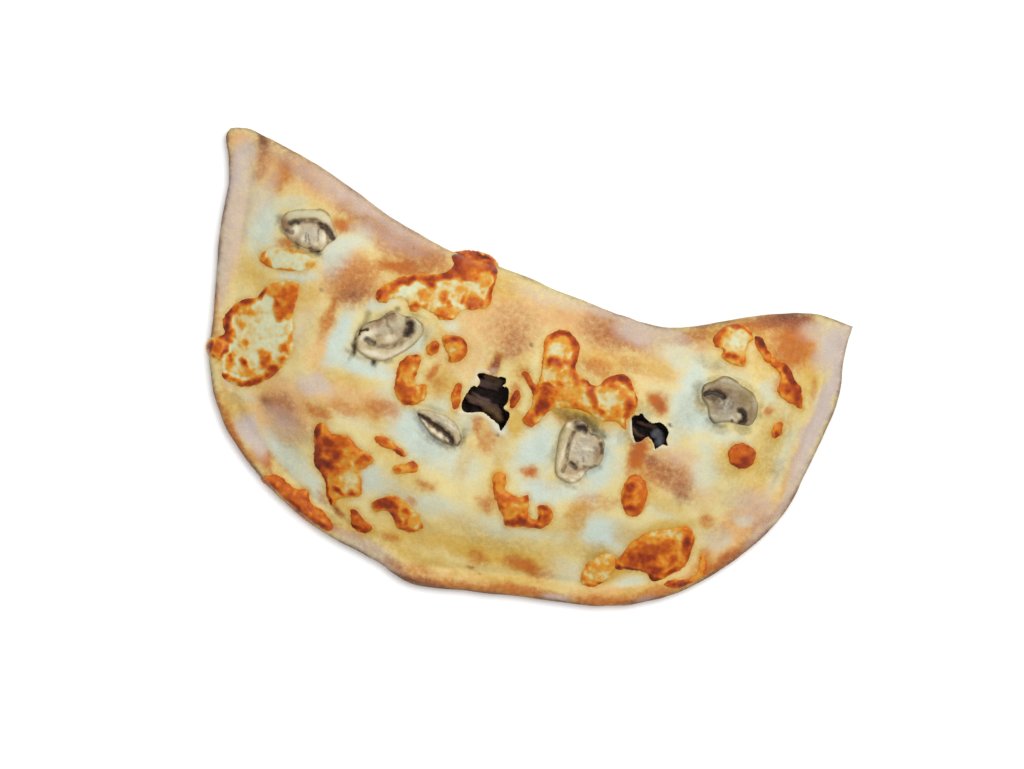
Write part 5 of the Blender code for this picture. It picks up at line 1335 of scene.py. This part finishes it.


# Mushroom slices: outline, direction of the fibres, lightness, lines (points, half width, depth, darkness) and
# marks of each kind (x, y, half length, half width, turn, strength). A line's darkness paints the gills and the
# shade in the sunken slits and along the edges; the cream marks are pale flesh and also painted highlights.
MUSHROOMS = {
    "mushroom_west": {
        "outline": [(-123.5, 55.5), (-122.3, 60), (-117, 63.4), (-110.5, 65.6), (-106, 67), (-102, 65.6), (-98.5, 61.5),
                    (-95.4, 57.5), (-95.6, 54.4), (-98.2, 51), (-100.6, 46.4), (-108, 46.2), (-114, 46.8),
                    (-119.5, 50)],
        "fibres": 100, "shade": 0.0,
        "lines": [([(-118.6, 55.4), (-117, 56.8), (-115, 57.6)], 1.5, 1.2, 0.95),
                  ([(-115.4, 57.8), (-112, 59.4), (-108.5, 60.2), (-104.5, 60.1)], 1.2, 0.9, 0.42),
                  ([(-104.6, 59.6), (-101.5, 58.6), (-99.2, 57), (-98, 55.4), (-96.6, 54.4)], 1.5, 1.6, 0.92),
                  ([(-119.6, 52), (-118, 51.3), (-116.4, 51.8)], 1.0, 0.8, 0.7),
                  ([(-99.2, 54), (-98.6, 52)], 0.6, 0.5, 0.5), ([(-108.6, 52.4),
                  (-106.8, 49)], 0.5, 0.4, 0.35),
                  ([(-110.2, 53), (-109, 49.5)], 0.4, 0.4, 0.3), ([(-105, 57),
                  (-103.6, 51.6)], 0.5, 0.4, 0.4),
                  ([(-105.5, 46.3), (-103, 46.1), (-101.4, 46.6)], 1.1, 0.5, 0.7),
                  ([(-113.6, 47.2), (-112, 47)], 1.0, 0.5, 0.6)],
        "stem": [(-107.5, 53, 6.5, 7, 0, 1)],
        "pale": [(-117, 61, 6, 3, 20, 1), (-109, 64, 9, 2.4, 16, 0.8), (-103.5, 63, 4, 3, 0, 0.4)],
        "brown": [(-121.4, 54.6, 5, 2.2, -66, 1), (-108, 59.4, 8, 2, 0, 0.7), (-118.6, 52.6, 2.4, 1.8, 0, 0.8),
                  (-102, 57, 4, 1.6, -30, 0.6), (-98, 56, 3, 2, -40, 0.6), (-103, 47.4, 4, 1.6, 0, 0.6),
                  (-113, 48.6, 4, 2, 0, 0.6), (-100.2, 60.4, 4, 1.6, -35, 0.25)],
        "olive": [(-122.2, 59, 3, 1, 80, 0.4), (-116, 63, 6, 0.7, 22, 0.45), (-106.5, 66.3, 4.4, 1.0, 0, 0.85),
                  (-102.6, 65.4, 1.6, 0.8, -40, 0.9), (-107, 48, 6, 1.2, 0, 0.4), (-101.5, 50, 1, 3, 0, 0.4)],
        # Cream marks: pale flesh, with a painted highlight at (-115.3, 53.4)
        "cream": [(-115.3, 53.4, 2.1, 2.9, -10, 1), (-101.4, 53.8, 2.4, 3.6, 10, 0.8), (-110.6, 50.4, 1.4, 2.4, 0, 0.5),
                  (-104, 49.6, 1.4, 1.4, 0, 0.4), (-101.8, 61.8, 3, 1.4, -30, 0.35)],
    },
    "mushroom_midwest": {
        "outline": [(-71.2, 13), (-69.4, 20), (-63.5, 24.6), (-59, 30), (-52.5, 29.4), (-46.5, 30), (-41.4, 26.5),
                    (-42.6, 19), (-50, 9.5), (-56.5, 4.8), (-63.5, 4.3), (-70, 7.4)],
        "fibres": 55, "shade": -0.03,
        "lines": [([(-70.6, 14), (-70.4, 15.8), (-67.2, 17.6)], 0.7, 0.8, 1.0),
                  ([(-66.6, 12.8), (-64.4, 12.2), (-62.4, 11.8)], 1.5, 1.2, 0.75),
                  ([(-62, 11.2), (-57, 12), (-52, 15), (-48.6, 19.6)], 1.3, 0.6, 0.32),
                  ([(-48.4, 26.4), (-47.6, 24), (-48.4, 21.4)], 2.2, 1.8, 1.0),
                  ([(-50.2, 29), (-49, 27)], 1.4, 0.8, 0.55), ([(-60, 24.4), (-57.6, 21.2),
                  (-55.6, 19.6)], 0.8, 0.5, 0.3),
                  ([(-68.6, 21), (-64, 23.2), (-61, 26), (-58, 28.8)], 0.7, 0.4, 0.5),
                  ([(-61.6, 25.8), (-61, 25.4)], 0.9, 0.4, 0.6), ([(-62.5, 15.6),
                  (-60.4, 16.6)], 0.7, 0.4, 0.35),
                  ([(-45.4, 29.4), (-42.8, 28), (-41.4, 25)], 0.7, 0.3, 0.35)],
        "stem": [(-59, 20, 8, 5, 30, 0.6), (-53, 23, 4, 5, 0, 0.5)],
        "pale": [(-45, 16, 7, 3.4, 60, 0.8), (-54, 27, 4, 3, 0, 0.5), (-44.4, 26, 2, 4, 20, 0.5)],
        "brown": [(-63.6, 22.6, 6, 2.4, 30, 0.8), (-58.6, 27.4, 3, 3.4, 60, 0.8), (-50.6, 17, 6, 2, 55, 0.45),
                  (-57, 12.6, 9, 1.8, 20, 0.35), (-50, 25, 2, 4, 0, 0.5), (-61, 14.6, 2, 3, 0, 0.3),
                  (-53, 21.6, 3, 2, 30, 0.3)],
        "olive": [(-66, 4.8, 8, 1.4, -4, 0.6), (-44, 17, 6, 1, 60, 0.3), (-57, 17, 6, 4, 30, 0.35),
                  (-64, 9.4, 5, 1.4, -10, 0.3), (-53.6, 6, 2, 1.2, 20, 0.8), (-49, 28.6, 3, 1, 0, 0.5)],
        # Cream marks: pale flesh, with a painted highlight at (-66.4, 15.6)
        "cream": [(-66.4, 15.6, 3.6, 2.2, 30, 1), (-68.4, 12.6, 1.6, 1.8, 0, 0.8), (-60, 7.2, 9, 2, 4, 0.85),
                  (-50.4, 11.6, 6, 1.8, 42, 0.6), (-55.6, 16.8, 3.4, 2.2, 20, 0.7),
                  (-46, 28, 2, 1.4, -30, 0.4)],
    },
    "mushroom_edge": {
        "outline": [(-32.5, -13.2), (-27.5, -10.8), (-17, -11.2), (-10, -15.6), (-7.7, -21.2), (-9.6, -24),
                    (-16, -24), (-22.5, -22.2), (-29, -17.6)],
        "fibres": -22, "shade": 0.0,
        "lines": [([(-31, -14.4), (-26, -15.6), (-21, -17)], 1.0, 1.2, 1.0),
                  ([(-22, -16.8), (-17.5, -18.4), (-13.8, -20.4), (-11.6, -22.6)], 1.6, 1.8, 1.0),
                  ([(-9, -16.4), (-8.2, -20.4), (-9.6, -23.2)], 0.6, 0.3, 0.5),
                  ([(-30.6, -15.8), (-25.4, -20), (-20, -22.4), (-11, -23.7)], 0.8, 0.3, 0.45),
                  ([(-25.4, -17.4), (-24.8, -18.6)], 0.5, 0.3, 0.5), ([(-20.4, -19.4),
                  (-19.8, -20.4)], 0.5, 0.3, 0.4),
                  ([(-16.6, -20.6), (-16, -21.8)], 0.5, 0.3, 0.5)],
        "stem": [(-18, -14, 12, 2.6, -20, 0.9)],
        "pale": [(-20, -11.6, 10, 1.2, -6, 0.6), (-31, -12.4, 3, 2, 0, 0.6)],
        "brown": [(-24, -17, 8, 1.6, -22, 0.7), (-14, -22, 4, 1.4, -20, 0.6), (-12, -19, 3, 1.4, -60, 0.4)],
        "olive": [(-20, -12.4, 11, 1, -14, 0.3), (-31.6, -13.6, 2, 1.4, 0, 0.4), (-9, -19, 1, 5, 15, 0.4)],
        # Cream marks: pale flesh, with painted glints along the lower lip
        "cream": [(-17, -13.6, 8, 1.4, -28, 0.6), (-28.4, -16.6, 1.6, 0.9, -35, 1), (-26.2, -18.3, 1.8, 1.1, -35, 1),
                  (-22.4, -20, 2.2, 1.1, -24, 1), (-18.2, -21, 2.4, 1.3, -8, 1),
                  (-14.4, -21.6, 1.4, 1, -50, 1)],
    },
    "mushroom_middle": {
        "outline": [(36.8, 0), (39, 4.4), (43.5, 7), (48, 6.3), (50.5, 2.4), (57, 1.8), (59.8, -3.5), (60, -11),
                    (55.5, -15.5), (53.6, -20.5), (50, -24), (44.5, -24), (40.3, -21.5), (37.4, -10)],
        "fibres": 8, "shade": 0.0,
        "lines": [([(44, 1), (42.4, -2), (42.9, -9), (43.8, -15), (43.6, -20)], 0.9, 0.9, 0.5),
                  ([(44.6, 2.6), (46.6, 3.2), (48.4, 2.6)], 2.0, 1.5, 1.0),
                  ([(42.4, 5), (45.4, 6.6), (48.6, 5.4), (50, 2.6), (55.5, 1.2)], 1.1, 0.4, 0.6),
                  ([(46, -15.2), (47.6, -15.8), (48.8, -15.8)], 1.4, 1.2, 0.8),
                  ([(53, -14.8), (55.4, -14.2), (58, -13)], 0.9, 0.8, 0.5),
                  ([(57.4, -1.6), (58.6, -3.6), (59, -5.4)], 1.0, 0.6, 0.75), ([(55, -4.4),
                  (56, -4.6)], 0.9, 0.4, 0.4),
                  ([(51, -10.4), (51.6, -12)], 0.7, 0.4, 0.3), ([(49, -13.4), (49.4, -14.6)], 0.5, 0.4, 0.3)],
        "stem": [(50.5, -7, 8, 8.5, 0, 1)],
        "pale": [(38, -8, 2, 14, 2, 0.9), (42, -22, 3, 2, 0, 0.5)],
        "brown": [(57.6, -6, 2.6, 6, 0, 0.8), (52, -16.4, 3.4, 2.2, 0, 0.85), (43.6, -2, 1.6, 4, 0, 0.5),
                  (46.6, -18.4, 3.6, 2, 0, 0.55), (41.6, 4.6, 3, 1.6, 20, 0.6), (49, 4, 2.6, 2, 0, 0.8),
                  (47, -14.6, 3, 2.4, 0, 0.4), (55, 1, 4, 1.4, 0, 0.4)],
        "olive": [(38, -9, 1.8, 11, 2, 0.7), (40.5, -21, 2.4, 2, -40, 0.5), (37.8, 0, 1.6, 3, 0, 0.7),
                  (42, -8, 1, 9, 0, 0.4), (49, 5.4, 3, 1.4, -30, 0.6), (46, -22.6, 4, 1.2, 0, 0.5)],
        # Cream marks: pale flesh, with a painted highlight at (49.8, -23)
        "cream": [(39.8, 2.4, 1.6, 2, 0, 0.8), (41.2, -12, 1, 8, 0, 0.5), (49.8, -23, 2.2, 1.1, -8, 1),
                  (52.9, -18.4, 1.6, 1.8, 0, 1), (50.5, -20.6, 1.6, 1, 0, 0.5), (45.5, -22.2, 2, 1, 0, 0.5),
                  (51.5, -6.2, 4, 1.2, 12, 0.5), (47.5, -0.8, 2, 1, 20, 0.4), (44.8, -5, 1, 4, 0, 0.4)],
    },
    "mushroom_east": {
        "outline": [(96.3, 40.4), (101, 44.6), (105, 48.2), (110, 47.8), (114.5, 46), (121, 44), (125.3, 38),
                    (125.4, 31), (122, 28), (113, 27), (107, 24.3), (103.5, 26.6), (101, 31.5), (97.4, 34.8)],
        "fibres": 80, "shade": -0.31,
        "lines": [([(98.8, 36.8), (100.6, 38.3), (104, 38.7), (107.6, 38)], 1.7, 1.6, 0.95),
                  ([(100, 36), (102.6, 36.2), (105, 35.2)], 1.5, 1.0, 0.55), ([(104, 34.6),
                  (105, 33.6)], 1.0, 0.6, 0.4),
                  ([(116.6, 34), (118.6, 33.8), (120, 32), (120.4, 29.8), (119, 28.4)], 1.4, 1.5, 0.95),
                  ([(114.6, 28.4), (114.9, 27.6)], 0.8, 0.6, 0.7), ([(103.4, 25.8), (107.6, 24.6),
                  (112, 25.6)], 0.9, 0.4, 0.5),
                  ([(96.8, 41), (96.6, 38)], 0.7, 0.3, 0.5), ([(108.8, 37), (108.4, 32)], 0.6, 0.4, 0.3),
                  ([(112.6, 36.6), (112, 33)], 0.8, 0.4, 0.35), ([(111, 38.6), (110.8, 35)], 0.5, 0.4, 0.25)],
        "stem": [(109.5, 34, 6, 7.5, 0, 1), (108, 27.5, 5, 2.5, 0, 0.4)],
        "pale": [(108, 27.4, 6, 3, 0, 0.5)],
        "brown": [(104, 40.4, 7, 2.6, 0, 0.9), (112, 40.4, 10, 3, -6, 0.6), (102, 36, 5, 2.4, 0, 0.8),
                  (122.2, 33, 2.4, 5, 0, 0.7), (116, 37, 4, 3, 0, 0.5), (120, 29.4, 4, 2.4, 0, 0.7),
                  (106, 31.6, 2.4, 3, 0, 0.4)],
        "olive": [(100.6, 44, 6.4, 1, 40, 0.9), (109.5, 47.4, 6, 1.1, -4, 0.9), (118.6, 44.6, 7, 1.2, -24, 0.9),
                  (124.9, 37, 1.2, 7, 0, 0.8), (118, 41, 6, 3, -20, 0.5), (107, 44.4, 6, 2.4, 0, 0.35),
                  (104, 33.6, 2.4, 2, 0, 0.5), (97.6, 37, 1, 3, 0, 0.5)],
        "cream": [(108, 46, 6, 1.3, 0, 0.45), (123, 39.6, 1.4, 4, 25, 0.35), (114.4, 29.2, 1.6, 1.7, 10, 0.9),
                  (117.3, 31.6, 1.2, 1.8, 20, 0.9), (116.6, 28.8, 1.4, 1.2, 0, 0.7),
                  (98.4, 38.2, 0.9, 1.8, -30, 0.7),
                  (105.6, 27.6, 2.4, 1.2, 0, 0.4)],
    },
}


def mushroom_slice(name, data, thickness, seed):
    """A slice of mushroom lying in the dough: rounded cap, sunken gills and a fibrous stem, with painted shade in the
    slits and along the edges and painted highlights on the wet flesh.
    """
    ring = closed_curve(data["outline"], 6)
    piece, plan = laid_patch("sliced_" + name, ring, 0.24, 1.0)
    depth = depth_inside(ring, plan) + 0.18 * noise(plan, 2.2, seed, 2)
    uneven = plan + np.column_stack([noise(plan, 1.8, seed + 5, 2), noise(plan, 1.8, seed + 6, 2)]) * 0.35
    masks = {}
    for kind in ("stem", "pale", "brown", "olive", "cream"):
        clear = np.ones(len(plan))
        for x, y, long, wide, turn, strength in data[kind]:
            clear *= 1 - strength * spot(uneven, x, y, long, wide, turn, 0.8)
        masks[kind] = 1 - clear
    masks["gills"], sunk = np.zeros(len(plan)), np.zeros(len(plan))
    # Each line paints the dark gills and the shade in the sunken slits and along the edges
    for points, half_width, deep, darkness in data["lines"]:
        gap = distance(open_curve(points, 5), uneven) / half_width
        masks["gills"] = np.maximum(masks["gills"], darkness * (1 - smoothstep(gap, 0.2, 1.6)))
        sunk = np.maximum(sunk, deep * (1 - smoothstep(gap, 0.1, 1.5)))
    c, s = math.cos(math.radians(data["fibres"])), math.sin(math.radians(data["fibres"]))
    along, across = plan[:, 0] * c + plan[:, 1] * s, plan[:, 1] * c - plan[:, 0] * s
    fibres = noise(np.column_stack([along * 0.25, across]), 0.8, seed + 2, 2)
    crinkles = noise(plan, 1.5, seed + 7, 3)
    body = quarter_round(depth, 1.6)
    swell = np.where(depth > 0, thickness * body, 2.0 * depth)
    inner = smoothstep(depth, 0, 1.2)
    swell += inner * (0.35 * masks["cream"] - sunk + masks["stem"] * (0.14 * fibres + 0.28 * crinkles))
    swell += 0.08 * noise(plan, 2.2, seed + 3, 2)
    write_places(piece, np.column_stack([plan, roof_height(plan) + swell - 0.8]))
    light = masks["stem"] * (0.07 * fibres + 0.1 * crinkles) + 0.05 * noise(plan, 3, seed + 4, 2) + data["shade"]
    # Painted shade along the edge of the slice
    masks["rim"] = 0.3 * np.exp(-(depth / 0.8) ** 2) * (0.6 + 0.6 * noise(plan, 5, seed + 8))
    for kind, mask in masks.items():
        store(piece, kind, np.clip(mask, 0, 1))
    store(piece, "light", light)
    close_underneath(piece, 1.8)
    return piece


class CALZONE_OT_mushrooms(bpy.types.Operator):
    """Model the mushroom slices"""
    bl_idname = "calzone.make_mushrooms"
    bl_label = "Mushrooms"

    def execute(self, context):
        settings = context.scene.calzone_mushroom
        material = shared_material("mushroom_surface", mushroom_material, settings)
        for index, (name, data) in enumerate(MUSHROOMS.items()):
            piece = mushroom_slice(name, data, millimetres(settings, "thickness"), 900 + 20 * index)
            finish_piece(piece, material, [name])
        return {"FINISHED"}


# ---------------------------------------------------------------- the stage

class CALZONE_OT_stage(bpy.types.Operator):
    """Lay the floor and set the light and the camera"""
    bl_idname = "calzone.make_stage"
    bl_label = "Stage"

    def execute(self, context):
        stage = context.scene.calzone_stage
        deselect()
        bpy.ops.mesh.primitive_plane_add(size=8)
        floor = context.object
        floor.name = "floor"
        material, tree, shader = new_material("floor")
        shader.inputs["Base Color"].default_value = (*stage.floor_colour, 1)
        shader.inputs["Roughness"].default_value = 0.9
        floor.data.materials.append(material)
        world = bpy.data.worlds.new("sky")
        context.scene.world = world
        world.use_nodes = True
        world.node_tree.nodes["Background"].inputs["Color"].default_value = (1, 1, 1, 1)
        world.node_tree.nodes["Background"].inputs["Strength"].default_value = stage.sky
        x, y, z = LAMP_PLACE
        bpy.ops.object.light_add(type="AREA", location=LAMP_PLACE,
                                 rotation=(-math.atan2(y, z), math.atan2(x, z), 0))
        lamp = context.object
        lamp.name = "main_lamp"
        lamp.data.size = LAMP_SIZE
        lamp.data.energy = stage.lamp_power
        bpy.ops.object.camera_add()
        camera = context.object
        camera.data.lens = stage.lens
        camera.data.sensor_width = 36
        camera.data.clip_end = 40
        away = stage.view_width * stage.lens / camera.data.sensor_width
        camera.location = (0.0077, 0.0134, away + 0.008)
        camera.rotation_euler = (0, 0, stage.turn)
        context.scene.camera = camera
        context.scene.view_settings.view_transform = "Standard"
        return {"FINISHED"}


class CALZONE_PT_panel(bpy.types.Panel):
    """Lists the pieces of the calzone and its settings"""
    bl_label = "Calzone"
    bl_idname = "CALZONE_PT_panel"
    bl_space_type = "VIEW_3D"
    bl_region_type = "UI"
    bl_category = "Calzone"

    def draw(self, context):
        for operator in OPERATORS:
            self.layout.operator(operator.bl_idname)
        for group in SETTINGS:
            box = self.layout.box()
            box.label(text=group.__doc__)
            for name in group.__annotations__:
                box.prop(getattr(context.scene, SETTINGS[group]), name)


SETTINGS = {DoughSettings: "calzone_dough", CheeseSettings: "calzone_cheese",
            MushroomSettings: "calzone_mushroom", StageSettings: "calzone_stage"}
OPERATORS = (CALZONE_OT_crust, CALZONE_OT_filling, CALZONE_OT_cheese, CALZONE_OT_mushrooms, CALZONE_OT_stage)


def register():
    for group, name in SETTINGS.items():
        bpy.utils.register_class(group)
        setattr(bpy.types.Scene, name, bpy.props.PointerProperty(type=group))
    for item in (*OPERATORS, CALZONE_PT_panel):
        bpy.utils.register_class(item)


def unregister():
    for item in (CALZONE_PT_panel, *reversed(OPERATORS)):
        bpy.utils.unregister_class(item)
    for group, name in SETTINGS.items():
        delattr(bpy.types.Scene, name)
        bpy.utils.unregister_class(group)


def main():
    register()
    bpy.ops.calzone.make_crust()
    bpy.ops.calzone.make_filling()
    bpy.ops.calzone.make_cheese()
    bpy.ops.calzone.make_mushrooms()
    bpy.ops.calzone.make_stage()


if __name__ == "__main__":
    main()
